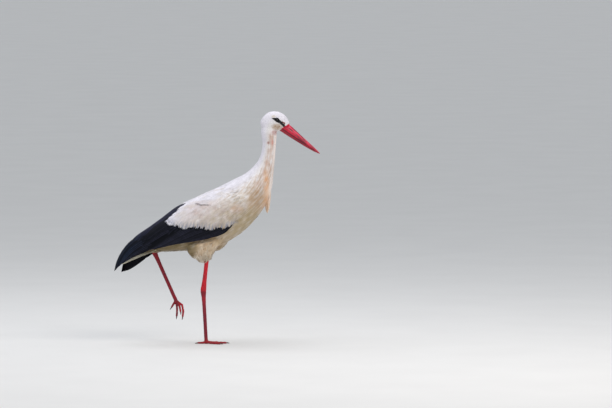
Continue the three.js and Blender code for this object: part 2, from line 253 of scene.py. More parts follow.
def red_gap(p):
    """How far points p lie behind the edge of the red skin from which the bill grows."""
    along = unit(RED_EDGE[1] - RED_EDGE[0])
    ahead = (p[:, [0, 2]] - RED_EDGE[0]) @ np.array([along[1], -along[0]])
    return np.maximum(-ahead, RED_FROM - p[:, 0])


def face_gaps(p):
    """Distances of points p from the bare face, the lores and the skin by the base of the bill."""
    patches = ((FACE_LINE, FACE_RADII), (LORE_LINE, LORE_RADII), (BASE_LINE, BASE_RADII))
    return [gap_to_line(p[:, [0, 2]], line, radii) for line, radii in patches]


def bare_share(p):
    """1 on the bare skin of the face and chin, 0 where feathers grow."""
    chin = gap_to_line(p[:, [0, 2]], CHIN_LINE, CHIN_RADII)
    chin += fade(0.006, 0.016, np.abs(p[:, 1] - MIDDLE)) * 8 * MM
    gap = np.min([*face_gaps(p), red_gap(p), chin], axis=0)
    return fade(1.2 * MM, -0.8 * MM, gap) * (p[:, 0] > FACE_FROM)


def coat_depth(p):
    """How deep the plumage is at points p."""
    at = station(p)[0]
    stops, depths = [0, 0.03, 0.09, 0.14, 0.28, 0.36, 0.9], [0.7, 0.9, 1.1, 1.5, 2.2, 3.2, 3.8]
    depth = np.interp(at, stops, depths) * MM
    depth = mix(depth, 6.5 * MM, both_thighs(p))
    return mix(depth, (0.5 + 2.2 * fade(-1 * MM, -9 * MM, red_gap(p))) * MM, bare_share(p))


# ---------------------------------------------------------------- colours of the plumage and the skin

def plain(tint, p):
    """One colour for each of the points p."""
    return np.tile(np.array(tint), (len(p), 1))


def tinted(colour, tint, share):
    """The colours moved towards a tint, by a share for each point."""
    return mix(colour, np.array(tint), share[:, None])


WHITE = (0.91, 0.895, 0.893)
# painted shade: the cool, sky-lit tint of the upper side
SKY_SHADE_WHITE = (0.89, 0.875, 0.91)
PINK_BEIGE = (0.77, 0.665, 0.61)
COVERT = (0.81, 0.745, 0.725)
GREY_BEIGE = (0.74, 0.69, 0.60)
# painted warm light for the front of the neck
WARM_LIGHT_PEACH = (0.95, 0.895, 0.865)
ORANGE = (0.90, 0.66, 0.46)
BROWN = (0.66, 0.53, 0.40)
DUN = (0.64, 0.56, 0.42)
BELLY = (0.64, 0.54, 0.40)
# painted shade: the olive of shade lit by green light from the grass
OLIVE_SHADE = (0.42, 0.36, 0.22)
# painted shade: white tail feathers in shade, yellowed by green light from the grass
CREAM_SHADE = (0.93, 0.90, 0.80)
STAINS_AND_CHIN_SHADOW = [  # x, z, half length, half height, colour, strength
    (236, 550, 18, 46, ORANGE, 0.75), (236, 625, 14, 66, ORANGE, 0.5), (200, 560, 44, 62, BROWN, 0.7),
    (160, 480, 60, 52, DUN, 0.75), (121, 535, 30, 21, (0.83, 0.70, 0.61), 0.55),
    (110, 452, 66, 28, DUN, 0.6), (186, 512, 36, 34, DUN, 0.5),
    (259, 790, 5, 14, (0.80, 0.58, 0.54), 0.75), (243, 787, 6, 6, (0.64, 0.48, 0.45), 0.85),
    (264, 890, 9, 6, (0.80, 0.74, 0.62), 0.6), (277, 849, 23, 14, (0.60, 0.46, 0.32), 0.75),
    # painted shadow under the chin; the other patches are stains
    (267, 827, 13, 11, (0.66, 0.46, 0.44), 0.8),
]


def plumage_colour(p):
    """Colour of the plumage at points p."""
    at, height, across = station(p)
    around = np.arctan2(height, np.abs(across) + 1e-6)
    breadth = np.hypot(height, across)
    streak = ripple(np.stack([at * 0.14, around * breadth], 1), 0.006, 3)
    broad = ripple(np.stack([at * 0.4, around * breadth], 1), 0.03, 4)
    patchy = ripple(p, 0.022, 5)
    colour = plain(WHITE, p)

    def wash(tint, share):
        nonlocal colour
        colour = tinted(colour, tint, np.clip(share, 0, 1))

    neck = fade(HEAD_END - 0.02, HEAD_END + 0.02, at) * fade(BREAST_END, NECK_END, at)
    flank = fade(NECK_END, BREAST_END, at) * fade(0.55, -0.2, around)
    # painted shade: the upper side turns cool, as under the sky
    wash(SKY_SHADE_WHITE, fade(0.2, 0.9, around) * 0.9)
    wash(PINK_BEIGE, neck * fade(0.85, 0.1, np.abs(around + 0.3)) * (0.62 + 0.4 * streak))
    # painted warm light on the front of the neck
    wash(WARM_LIGHT_PEACH, neck * fade(-0.75, -1.15, around) * 0.9)
    covert = white_wing_share(p) * fade(0.585, 0.535, p[:, 2]) * fade(-0.14, -0.02, p[:, 0])
    wash(COVERT, covert * (0.7 + 0.35 * patchy))
    wash(GREY_BEIGE, flank * (0.5 + 0.3 * streak + 0.15 * patchy))
    thin = ripple(np.stack([at * 0.1, around * breadth], 1), 0.0028, 9)
    front = fade(NECK_END - 0.12, NECK_END - 0.02, at) * fade(BREAST_END + 0.1, BREAST_END, at)
    front *= fade(0.9, 0.3, around)
    wash(BROWN, front * fade(0.1, 0.9, thin) * 0.4)
    wash(WHITE, front * fade(-0.2, -0.9, thin) * 0.3)
    lower = fade(-0.15, -0.75, around) * fade(NECK_END, BREAST_END + 0.04, at)
    wash(GREY_BEIGE, lower * (0.5 + 0.3 * patchy))
    wash(BELLY, lower * fade(0.44, 0.56, at) * (0.8 + 0.25 * patchy))
    # painted shade under the tail, tinted green by the grass
    wash(OLIVE_SHADE, lower * fade(0.62, 0.74, at) * 0.8)
    thigh = both_thighs(p)
    # painted shade under the wing, tinted green by the grass
    shaded = fade(0.0, -0.08, p[:, 0]) * fade(0.44, 0.41, p[:, 2]) * (1 - thigh)
    wash(OLIVE_SHADE, shaded * (0.5 + 0.3 * streak))
    wash((0.84, 0.755, 0.645), thigh * (0.9 + 0.2 * patchy))
    wash(BROWN, thigh * (0.05 + 0.45 * streak))
    stipple = fade(0.1, 0.8, ripple(p, 0.0035, 6)) * 1.2
    streak = np.where(p[:, 2] > 0.81, stipple - 0.35, streak)
    # stains, and the painted shadow under the chin
    for x, z, length, tall, tint, strength in STAINS_AND_CHIN_SHADOW:
        gap = np.hypot((p[:, 0] / MM - x) / length, (p[:, 2] / MM - z) / tall)
        wash(tint, fade(1.3, 0.2, gap) * strength * (0.85 + np.where(z > 700, 0.7, 0.28) * streak))
    colour *= (1 + 0.022 * broad + 0.012 * streak)[:, None]
    rump = fade(RUMP, RUMP + 0.06, at)
    # painted shade: the white rump and tail in shade, yellowed by the grass's light
    wash(CREAM_SHADE, rump * 0.8)
    return linear(colour)


def skin_colour(p):
    """Colour of the skin: as the plumage, with dark bare skin on the face."""
    colour = plumage_colour(p)
    face, lore, base = face_gaps(p)
    colour = mix(colour, linear((0.13, 0.13, 0.16)), under_fringe(p, 12 * MM, 30 * MM)[:, None])
    tint = linear((0.56, 0.40, 0.40))
    for bare, share in (
        ((0.47, 0.23, 0.20), fade(2.5 * MM, -0.5 * MM, lore)),
        ((0.19, 0.18, 0.155), fade(1.5 * MM, -1.5 * MM, base)),
        ((0.07, 0.065, 0.075), fade(1.5 * MM, -0.5 * MM, face)),
        ((0.76, 0.11, 0.23), fade(0.4 * MM, -0.8 * MM, red_gap(p))),
    ):
        tint = mix(tint, linear(bare), share[:, None])
    tint = tint * (1 + 0.12 * ripple(p, 0.004, 8)[:, None])
    return mix(colour, tint, bare_share(p)[:, None])


# ---------------------------------------------------------------- meshes

def new_mesh(name, vertices, faces):
    """A mesh from vertices and arrays of faces, each array with its own number of corners."""
    mesh = bpy.data.meshes.new(name)
    corners = np.concatenate([f.ravel() for f in faces]).astype(np.int32)
    sizes = np.concatenate([np.full(len(f), f.shape[1]) for f in faces])
    mesh.vertices.add(len(vertices))
    mesh.vertices.foreach_set("co", np.asarray(vertices, np.float32).ravel())
    mesh.loops.add(len(corners))
    mesh.loops.foreach_set("vertex_index", corners)
    mesh.polygons.add(len(sizes))
    mesh.polygons.foreach_set("loop_start", np.concatenate([[0], np.cumsum(sizes)[:-1]]).astype(np.int32))
    mesh.polygons.foreach_set("use_smooth", np.ones(len(sizes), bool))
    mesh.update(calc_edges=True)
    return mesh


def place(name, mesh, materials, replaced=()):
    """Shows a finished mesh as a piece of the stork."""
    piece = bpy.data.objects.new(name, mesh)
    bpy.context.scene.collection.objects.link(piece)
    for material in materials:
        mesh.materials.append(material)
    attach(piece, "root")
    if replaced:
        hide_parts(*replaced)


def vectors_of(items, what, width=3):
    values = np.empty(len(items) * width, np.float32)
    items.foreach_get(what, values)
    return values.reshape(-1, width).astype(float)


def paint(mesh, name, colours):
    layer = mesh.color_attributes.new(name, "FLOAT_COLOR", "POINT")
    rows = np.hstack([np.clip(colours, 0, 1), np.ones((len(colours), 1))])
    layer.data.foreach_set("color", rows.astype(np.float32).ravel())


def lay_map(mesh, name, places):
    """Gives the mesh a UV map from one place for each vertex."""
    layer = mesh.uv_layers.new(name=name)
    corner = np.empty(len(mesh.loops), np.int32)
    mesh.loops.foreach_get("vertex_index", corner)
    layer.data.foreach_set("uv", places[corner].astype(np.float32).ravel())


def move_vertices(mesh, p):
    mesh.vertices.foreach_set("co", p.astype(np.float32).ravel())
    mesh.update()


def triangles_of(mesh):
    mesh.calc_loop_triangles()
    corners = np.empty(len(mesh.loop_triangles) * 3, np.int32)
    mesh.loop_triangles.foreach_get("vertices", corners)
    return corners.reshape(-1, 3)


def surface_of(mesh):
    """A search tree over a mesh."""
    return BVHTree.FromPolygons(vectors_of(mesh.vertices, "co").tolist(), triangles_of(mesh).tolist())


def nearest(tree, places):
    """Nearest points on a surface, with its normals there."""
    found, normals = np.empty_like(places), np.empty_like(places)
    for i, place_now in enumerate(places.tolist()):
        spot, normal, _, _ = tree.find_nearest(place_now)
        found[i] = spot
        normals[i] = normal
    return found, normals


def even_copy(name, names, voxel, rounds, grow=0.25 * MM):
    """The CAD nodes named, each grown until they touch, as one closed even mesh."""
    whole = bmesh.new()
    for node in names:
        part = bmesh.new()
        part.from_mesh(nodes[node].data)
        bmesh.ops.remove_doubles(part, verts=part.verts, dist=0.01 * MM)
        part.normal_update()
        for vertex in part.verts:
            vertex.co += vertex.normal * grow
        step = bpy.data.meshes.new(node + "_grown")
        part.to_mesh(step)
        part.free()
        whole.from_mesh(step)
        bpy.data.meshes.remove(step)
    rough = bpy.data.meshes.new(name + "_rough")
    whole.to_mesh(rough)
    whole.free()
    holder = bpy.data.objects.new(name + "_rough", rough)
    bpy.context.scene.collection.objects.link(holder)
    remesh = holder.modifiers.new("even", "REMESH")
    remesh.mode = "VOXEL"
    remesh.voxel_size = voxel
    soften = holder.modifiers.new("soften", "SMOOTH")
    soften.factor = 0.5
    soften.iterations = rounds
    found = holder.evaluated_get(bpy.context.evaluated_depsgraph_get())
    mesh = bpy.data.meshes.new_from_object(found)
    mesh.name = name
    bpy.data.objects.remove(holder)
    bpy.data.meshes.remove(rough)
    return mesh


def grid_faces(rows, columns, closed=False, start=0):
    """Quads between the points of a grid stored row by row."""
    wide = columns if closed else columns - 1
    i, j = np.meshgrid(np.arange(rows - 1), np.arange(wide), indexing="ij")
    a = (i * columns + j).ravel()
    b = (i * columns + (j + 1) % columns).ravel()
    return np.stack([a, b, b + columns, a + columns], 1) + start


def end_fans(rings, columns):
    """Triangles that close the first and last ring of a grid with the two points stored after it."""
    j = np.arange(columns)
    after, end = (j + 1) % columns, (rings - 1) * columns
    first = np.full(columns, rings * columns)
    return np.vstack([np.stack([first, after, j], 1), np.stack([first + 1, j + end, after + end], 1)])


# ---------------------------------------------------------------- shader groups and materials

def shader_group(name, inputs, outputs, build):
    """A node group; build(nodes, links, inputs, outputs) fills it in."""
    tree = bpy.data.node_groups.new(name, "ShaderNodeTree")
    for label, kind, value in inputs:
        socket = tree.interface.new_socket(label, in_out="INPUT", socket_type=kind)
        socket.default_value = value
    for label, kind in outputs:
        tree.interface.new_socket(label, in_out="OUTPUT", socket_type=kind)
    begin = tree.nodes.new("NodeGroupInput")
    end = tree.nodes.new("NodeGroupOutput")
    build(tree.nodes, tree.links, begin.outputs, end.inputs)
    return tree


def math_node(tree_nodes, links, kind, a, b=None, c=None):
    node = tree_nodes.new("ShaderNodeMath")
    node.operation = kind
    for socket, value in zip(node.inputs, (a, b, c)):
        if value is None:
            continue
        if isinstance(value, (int, float)):
            socket.default_value = value
        else:
            links.new(value, socket)
    return node.outputs[0]


def build_barbs(tree_nodes, links, given, out):
    """Fine barbs that slant from the shaft to the edges of a vane, from its own map."""
    vane = tree_nodes.new("ShaderNodeUVMap")
    vane.uv_map = "vane"
    split = tree_nodes.new("ShaderNodeSeparateXYZ")
    links.new(vane.outputs[0], split.inputs[0])
    side = math_node(tree_nodes, links, "SUBTRACT", split.outputs[0], 0.5)
    off = math_node(tree_nodes, links, "ABSOLUTE", side)
    slanted = math_node(tree_nodes, links, "MULTIPLY_ADD", off, given["Slant"], split.outputs[1])
    wobble = tree_nodes.new("ShaderNodeTexNoise")
    wobble.inputs["Scale"].default_value = 9
    wobble.inputs["Detail"].default_value = 2
    links.new(vane.outputs[0], wobble.inputs["Vector"])
    bent = math_node(tree_nodes, links, "MULTIPLY_ADD", wobble.outputs[0], 0.03, slanted)
    phase = math_node(tree_nodes, links, "MULTIPLY", bent, given["Barbs"])
    wave = math_node(tree_nodes, links, "SINE", phase)
    links.new(math_node(tree_nodes, links, "MULTIPLY_ADD", wave, 0.5, 0.5), out["Height"])
    shaft = math_node(tree_nodes, links, "DIVIDE", off, given["Shaft"])
    beside = math_node(tree_nodes, links, "MINIMUM", shaft, 1)
    links.new(math_node(tree_nodes, links, "SUBTRACT", 1, beside), out["Shaft"])


BARBS = shader_group(
    "barbs",
    [
        ("Barbs", "NodeSocketFloat", 900), ("Slant", "NodeSocketFloat", -0.22),
        ("Shaft", "NodeSocketFloat", 0.012),
    ],
    [("Height", "NodeSocketFloat"), ("Shaft", "NodeSocketFloat")],
    build_barbs,
)


def build_mottle(tree_nodes, links, given, out):
    """Small changes of brightness over a surface."""
    place_now = tree_nodes.new("ShaderNodeTexCoord")
    noise = tree_nodes.new("ShaderNodeTexNoise")
    noise.inputs["Detail"].default_value = 4
    links.new(place_now.outputs["Object"], noise.inputs["Vector"])
    links.new(given["Scale"], noise.inputs["Scale"])
    links.new(noise.outputs[0], out["Value"])
    reach = tree_nodes.new("ShaderNodeMapRange")
    links.new(noise.outputs[0], reach.inputs["Value"])
    reach.inputs["From Min"].default_value = 0.3
    reach.inputs["From Max"].default_value = 0.7
    links.new(math_node(tree_nodes, links, "SUBTRACT", 1, given["Strength"]), reach.inputs["To Min"])
    links.new(math_node(tree_nodes, links, "ADD", 1, given["Strength"]), reach.inputs["To Max"])
    tinted = tree_nodes.new("ShaderNodeVectorMath")
    tinted.operation = "SCALE"
    links.new(given["Colour"], tinted.inputs[0])
    links.new(reach.outputs[0], tinted.inputs["Scale"])
    links.new(tinted.outputs[0], out["Colour"])


MOTTLE = shader_group(
    "mottle",
    [
        ("Colour", "NodeSocketColor", (1, 1, 1, 1)), ("Scale", "NodeSocketFloat", 200),
        ("Strength", "NodeSocketFloat", 0.1),
    ],
    [("Colour", "NodeSocketColor"), ("Value", "NodeSocketFloat")],
    build_mottle,
)


class Finish:
    """A material with a Principled shader and a short way to add nodes."""

    def __init__(self, name, **values):
        self.material = bpy.data.materials.new(name)
        self.material.use_nodes = True
        self.nodes = self.material.node_tree.nodes
        self.links = self.material.node_tree.links
        self.shader = self.nodes["Principled BSDF"]
        for label, value in values.items():
            self.shader.inputs[label.replace("_", " ")].default_value = value

    def group(self, tree, **values):
        node = self.nodes.new("ShaderNodeGroup")
        node.node_tree = tree
        for label, value in values.items():
            node.inputs[label].default_value = value
        return node

    def attribute(self, name):
        node = self.nodes.new("ShaderNodeAttribute")
        node.attribute_name = name
        return node

    def link(self, source, target):
        self.links.new(source, self.shader.inputs[target] if isinstance(target, str) else target)

    def coloured(self, scale, strength):
        """Base colour from the piece's own attribute, mottled; returns the mottle."""
        colour = self.attribute("plumage")
        mottle = self.group(MOTTLE, Scale=scale, Strength=strength)
        self.link(colour.outputs["Color"], mottle.inputs["Colour"])
        self.link(mottle.outputs["Colour"], "Base Color")
        return mottle

    def rough_by(self, value, smoothest, roughest):
        """Roughness that follows a value over the surface."""
        reach = self.nodes.new("ShaderNodeMapRange")
        reach.inputs["To Min"].default_value = smoothest
        reach.inputs["To Max"].default_value = roughest
        self.links.new(value, reach.inputs["Value"])
        self.link(reach.outputs[0], "Roughness")

    def bump(self, height, strength, distance):
        node = self.nodes.new("ShaderNodeBump")
        node.inputs["Strength"].default_value = strength
        node.inputs["Distance"].default_value = distance
        self.links.new(height, node.inputs["Height"])
        self.link(node.outputs[0], "Normal")


def white_plumage_finish():
    finish = Finish("white_plumage", Roughness=0.68, Sheen_Weight=0.25, Sheen_Roughness=0.5,
                    Specular_IOR_Level=0.25)
    finish.coloured(260.0, 0.05)
    barbs = finish.group(BARBS, Barbs=1500.0, Slant=-0.3, Shaft=0.006)
    finish.bump(barbs.outputs["Height"], 0.35, 0.0003)
    return finish.material


def black_plumage_finish():
    finish = Finish("black_plumage", Specular_IOR_Level=0.13, Specular_Tint=(0.75, 0.8, 1, 1))
    finish.coloured(55.0, 0.25)
    barbs = finish.group(BARBS, Barbs=2400.0, Slant=-0.26, Shaft=0.009)
    finish.rough_by(barbs.outputs["Height"], 0.34, 0.5)
    finish.bump(barbs.outputs["Height"], 0.18, 0.0002)
    return finish.material


def body_skin_finish():
    finish = Finish("body_skin", Roughness=0.6, Specular_IOR_Level=0.35)
    finish.bump(finish.coloured(420.0, 0.16).outputs["Value"], 0.5, 0.0008)
    return finish.material


def leg_skin_finish():
    finish = Finish("leg_skin", Roughness=0.5, Specular_IOR_Level=0.4)
    finish.bump(finish.coloured(300.0, 0.22).outputs["Value"], 0.35, 0.0006)
    return finish.material


def bill_finish():
    finish = Finish("bill_horn", Specular_IOR_Level=0.45, Coat_Roughness=0.3)
    mottle = finish.coloured(140.0, 0.14)
    finish.rough_by(mottle.outputs["Value"], 0.3, 0.5)
    finish.bump(mottle.outputs["Value"], 0.25, 0.0006)
    return finish.material


def claw_finish():
    finish = Finish("claw_horn", Roughness=0.42, Base_Color=(0.06, 0.035, 0.03, 1))
    mottle = finish.group(MOTTLE, Colour=(0.075, 0.04, 0.035, 1), Scale=500.0, Strength=0.4)
    finish.link(mottle.outputs["Colour"], "Base Color")
    finish.bump(mottle.outputs["Value"], 0.3, 0.0003)
    return finish.material


def eye_finish():
    finish = Finish("eyeball", Roughness=0.1, Specular_IOR_Level=0.2, Coat_Weight=0.3, Coat_Roughness=0.03)
    finish.coloured(900.0, 0.25)
    return finish.material


WHITE_PLUMAGE = white_plumage_finish()
BLACK_PLUMAGE = black_plumage_finish()
BODY_SKIN = body_skin_finish()
LEG_SKIN = leg_skin_finish()
BILL_HORN = bill_finish()
CLAW_HORN = claw_finish()
EYEBALL = eye_finish()


# ---------------------------------------------------------------- skin

FLESH = ["head", "neck_upper", "neck_middle", "neck_lower", "trunk"]
FLESH += [f"thigh_{side}" for side in SIDES] + [f"wing_{side}_coverts" for side in SIDES]
LEG_PARTS = [f"{part}_{side}" for side in SIDES for part in ("shank", "tarsus")]
LEG_PARTS += [f"toe_{side}_{toe}" for side in SIDES for toe in TOES]


def refine(mesh, chosen):
    """Halves the edges that lie in the region that chosen(points) picks."""
    fine = bmesh.new()
    fine.from_mesh(mesh)
    wanted = chosen(vectors_of(mesh.vertices, "co"))
    fine.verts.ensure_lookup_table()
    edges = [e for e in fine.edges if wanted[e.verts[0].index] and wanted[e.verts[1].index]]
    bmesh.ops.subdivide_edges(fine, edges=edges, cuts=1, use_grid_fill=True, smooth=0.6)
    fine.to_mesh(mesh)
    fine.free()


def shape_lids(p):
    """Opens the skin over each eye and rolls its edge into two lids."""
    side = np.sign(p[:, 1] - MIDDLE)
    offset = p[:, [0, 2]] - EYE
    along = offset @ [math.cos(EYE_SLANT), math.sin(EYE_SLANT)]
    rise = offset @ [-math.sin(EYE_SLANT), math.cos(EYE_SLANT)]
    from_axis = np.hypot(along, rise)
    almond = np.hypot(along / np.where(along > 0, 1.22, 1.12), rise / np.where(rise > 0, 0.9, 0.94))
    outside = np.abs(p[:, 1] - MIDDLE)
    ball = EYE_DEPTH + np.sqrt(np.maximum(EYE_RADIUS ** 2 - from_axis ** 2, 0))
    opening, margin, reach = 5.4 * MM, 6.9 * MM, 11.5 * MM
    rim = np.clip((almond - opening) / (margin - opening), 0, 1)
    roll = ball + 0.25 * MM + 0.75 * MM * np.sin(rim * math.pi) ** 0.6
    folds = 0.28 * MM * np.sin((almond - margin) / (1.55 * MM) * 2 * math.pi) * fade(reach, margin, almond)
    shaped = np.where(almond < opening, ball - 1.6 * MM * fade(opening, opening - 0.7 * MM, almond), roll)
    shaped = mix(shaped, outside + folds, fade(margin - 0.3 * MM, margin + 1.4 * MM, almond))
    near = (from_axis < reach) & (outside > 0.012) & (p[:, 0] > FACE_FROM)
    moved = p.copy()
    moved[:, 1] = np.where(near, MIDDLE + side * shaped, p[:, 1])
    return moved


WING_FRONT = np.array([(96, 470), (152, 506), (172, 552), (158, 588), (100, 596), (30, 574)]) * MM


def relax(mesh, share_at, rounds):
    """Evens out a mesh where share_at(points) is above 0."""
    p = vectors_of(mesh.vertices, "co")
    share = share_at(p)[:, None] * 0.6
    ends = np.empty(len(mesh.edges) * 2, np.int32)
    mesh.edges.foreach_get("vertices", ends)
    a, b = ends.reshape(-1, 2).T
    degree = np.bincount(ends, minlength=len(p))[:, None]
    for _ in range(rounds):
        total = np.stack([
            np.bincount(a, p[b, i], len(p)) + np.bincount(b, p[a, i], len(p)) for i in range(3)
        ], 1)
        p = mix(p, total / degree, share)
    move_vertices(mesh, p)


def wing_front_share(p):
    gap = gap_to_line(p[:, [0, 2]], WING_FRONT, np.zeros(len(WING_FRONT)))
    return fade(0.04, 0.015, gap) * (np.abs(p[:, 1] - MIDDLE) > 0.03)


def body_skin_mesh():
    mesh = even_copy("skin", FLESH, 3.5 * MM, 6)
    relax(mesh, wing_front_share, 60)
    refine(mesh, lambda p: (p[:, 0] > FACE_FROM) & (p[:, 2] > 0.80))
    refine(mesh, lambda p: (p[:, 0] > 0.25) & (p[:, 2] > 0.815) & (p[:, 2] < 0.9))
    p = vectors_of(mesh.vertices, "co")
    p -= vectors_of(mesh.vertex_normals, "vector") * coat_depth(p)[:, None]
    wrinkle = bare_share(p) * 0.22 * MM * ripple(p, 0.004, 12)
    p[:, 1] += np.sign(p[:, 1] - MIDDLE) * wrinkle
    p = shape_lids(p)
    move_vertices(mesh, p)
    return mesh


LEG_RED = (0.76, 0.06, 0.14)
# dark red for the ring at the ankle, and painted shade for the far leg
LEG_DARK_AND_SHADE = (0.36, 0.06, 0.14)
LEG_GREY = (0.37, 0.11, 0.18)
FOOT_RED = (0.72, 0.12, 0.12)


def leg_colour(p):
    """Bright red legs, greyer and more purple below the ankle, darker at the ankle, with painted shade on the
    far, raised leg.
    """
    blotch = ripple(p, 0.012, 21)
    colour = plain(LEG_RED, p)
    near = fade(MIDDLE + 0.006, MIDDLE - 0.006, p[:, 1])
    low = fade(0.23, 0.12, p[:, 2]) * near
    colour = tinted(colour, LEG_GREY, low * (0.6 + 0.12 * blotch))
    ring = fade(0.018, 0.004, np.abs(p[:, 2] - 0.197)) * near
    colour = tinted(colour, LEG_DARK_AND_SHADE, ring * 0.5)
    # painted shade: the far, raised leg darker, less so low at its front where light reaches
    raised = (1 - near) * mix(0.55, 0.12, fade(0.165, 0.15, p[:, 2]) * fade(-0.112, -0.1, p[:, 0]))
    colour = tinted(colour, LEG_DARK_AND_SHADE, raised + 0.2 * blotch * (1 - near))
    foot = fade(0.03, 0.012, p[:, 2])
    colour = tinted(colour, FOOT_RED, foot * 0.5)
    return linear(colour * (1 + 0.06 * blotch[:, None]))


def leg_skin_mesh():
    mesh = even_copy("legs", LEG_PARTS, 1.6 * MM, 5)
    p = vectors_of(mesh.vertices, "co")
    normals = vectors_of(mesh.vertex_normals, "vector")
    p += normals * (0.1 * MM * ripple(p, 0.01, 14) - 0.25 * MM)[:, None]
    p[:, 2] = np.maximum(p[:, 2], 0.0)
    move_vertices(mesh, p)
    return mesh


def join_skin(body, legs):
    """The skin of the bird in one mesh: a shell for the body and one for each leg, with two finishes."""
    whole = bmesh.new()
    whole.from_mesh(body)
    count = len(whole.faces)
    whole.from_mesh(legs)
    mesh = bpy.data.meshes.new("skin")
    whole.to_mesh(mesh)
    whole.free()
    finish = np.zeros(len(mesh.polygons), np.int32)
    finish[count:] = 1
    mesh.polygons.foreach_set("material_index", finish)
    mesh.polygons.foreach_set("use_smooth", np.ones(len(finish), bool))
    p = vectors_of(mesh.vertices, "co")
    legs_from = len(body.vertices)
    colours = np.vstack([skin_colour(p[:legs_from]), leg_colour(p[legs_from:])])
    paint(mesh, "plumage", colours)
    return mesh


body_mesh = body_skin_mesh()
leg_mesh = leg_skin_mesh()
skin_mesh = join_skin(body_mesh, leg_mesh)
place("skin", skin_mesh, [BODY_SKIN, LEG_SKIN], FLESH + LEG_PARTS)
body_surface = surface_of(body_mesh)


# ---------------------------------------------------------------- small feathers

VANE_FACES = [
    np.array([(0, 2, 1), (0, 3, 2), (10, 7, 8), (10, 8, 9), (0, 1, 3), (10, 9, 7)]),
    np.array([(1, 2, 5, 4), (4, 5, 8, 7), (2, 3, 6, 5), (5, 6, 9, 8), (3, 1, 4, 6), (6, 4, 7, 9)]),
]
UNDER_FACES = [np.array([0, 0, 0, 0, 1, 1], bool), np.array([0, 0, 0, 0, 1, 1], bool)]
PATCH = 0.003  # size of each feather's patch on the unwrap of the skin
PIECE_LIMIT = 10500  # feathers in one piece


def scatter(mesh, spacing_at, seed, wanted):
    """Roots spread over a mesh, about one for each cell of the size that spacing_at(points) gives."""
    source = np.random.default_rng(seed)
    corners = triangles_of(mesh)
    p = vectors_of(mesh.vertices, "co")
    a, b, c = p[corners[:, 0]], p[corners[:, 1]], p[corners[:, 2]]
    centre = (a + b + c) / 3
    area = np.linalg.norm(np.cross(b - a, c - a), axis=1) / 2
    spacing = spacing_at(centre)
    density = np.where(wanted(centre), area / spacing ** 2, 0)
    count = int(density.sum() * 3.2)
    chosen = source.choice(len(area), count, p=density / density.sum())
    u, v = source.random((2, count))
    u, v = np.where(u + v > 1, 1 - u, u), np.where(u + v > 1, 1 - v, v)
    roots = a[chosen] + (b - a)[chosen] * u[:, None] + (c - a)[chosen] * v[:, None]
    gap = spacing[chosen]
    step = np.round(np.log(gap) * 6) / 6
    cell = np.floor(roots / np.exp(step)[:, None] + source.random(3)).astype(np.int64)
    key = cell @ np.array([1, 4001, 4001 ** 2]) + np.round(step * 6).astype(np.int64) * 4001 ** 3
    _, first = np.unique(key, return_index=True)
    roots, gap = roots[first], gap[first]
    return thin_out(roots, gap * 0.62)


AROUND = [(dx, dy, dz) for dx in (-1, 0, 1) for dy in (-1, 0, 1) for dz in (-1, 0, 1)]


def thin_out(roots, gap):
    """Leaves out roots that lie too close to one kept already."""
    cells, kept = {}, []
    size = float(gap.max())
    for i, (x, y, z) in enumerate(roots.tolist()):
        at = (int(x // size), int(y // size), int(z // size))
        limit = gap[i] ** 2
        close = any(
            (u - x) ** 2 + (v - y) ** 2 + (w - z) ** 2 < limit
            for dx, dy, dz in AROUND
            for u, v, w in cells.get((at[0] + dx, at[1] + dy, at[2] + dz), ())
        )
        if not close:
            cells.setdefault(at, []).append((x, y, z))
            kept.append(i)
    return roots[kept]


def ring_shares(style):
    """Where a small feather's root, three rings and tip lie along it."""
    return np.array([0, style["start"], style["middle"], style["end"], 1])


def grow(roots, style, seed, lie_at=lie, surface=None, twist=0.16):
    """Feathers from their roots along the lie of the coat."""
    source = np.random.default_rng(seed)
    surface = surface or body_surface
    count = len(roots)
    shares = ring_shares(style)
    length = style["length"] * source.uniform(0.8, 1.2, count)
    turn = source.normal(0, twist, count)[:, None]
    lift = source.uniform(0.8, 1.15, count)
    spots, normals = nearest(surface, roots)
    path, ups = [spots], [normals]
    for k in range(4):
        heading = lie_at(spots)
        heading = unit(heading - normals * (heading * normals).sum(1)[:, None])
        heading = unit(heading + np.cross(normals, heading) * turn)
        spots, normals = nearest(surface, spots + heading * (length * (shares[k + 1] - shares[k]))[:, None])
        normals = unit(normals + ups[-1])
        path.append(spots)
        ups.append(normals)
    path, ups = np.stack(path, 1), np.stack(ups, 1)
    rise = np.array(style["rise"])[None] * (style["depth"] * lift)[:, None]
    return vanes(path + ups * rise[:, :, None], ups, style, source, length, roots)


def vanes(middle, ups, style, source, length, roots):
    """Small feathers along their middle lines, each a closed lance of three rings between two points."""
    count = len(roots)
    shares = ring_shares(style)
    along = unit(np.gradient(middle, axis=1))
    left = unit(np.cross(ups, along))
    half = (style["width"] * source.uniform(0.8, 1.2, count) / 2)[:, None] * np.array([0, *style["broad"], 0])
    points, bent = [middle[:, 0]], [ups[:, 0]]
    for k in (1, 2, 3):
        reach = left[:, k] * half[:, k, None]
        dome = ups[:, k] * (half[:, k] * 0.1 + 0.08 * MM)[:, None]
        edge = middle[:, k] - ups[:, k] * (half[:, k] * 0.2)[:, None]
        points += [edge + reach, middle[:, k] + dome, edge - reach]
        bent += [unit(ups[:, k] + left[:, k] * 0.16), ups[:, k], unit(ups[:, k] - left[:, k] * 0.16)]
    points.append(middle[:, 4])
    bent.append(ups[:, 4])
    broad = np.repeat(style["broad"], 3)
    across = np.concatenate([[0], np.tile([1, 0, -1], 3) * broad, [0]])
    run = np.concatenate([[0], np.repeat(shares[1:4], 3), [1]])
    return {
        "roots": roots, "points": np.stack(points, 1), "normals": np.stack(bent, 1),
        "across": across, "run": run, "length": length, "width": style["width"],
    }


def unwrap(roots):
    """Places of the roots on the skin, unrolled about the middle line and fitted to the unit square."""
    at, height, across = station(roots)
    flat = np.stack([np.arctan2(across, -height), at], 1)
    low, high = flat.min(0), flat.max(0)
    return PATCH + (flat - low) / np.maximum(high - low, 1e-6) * (1 - 2 * PATCH)


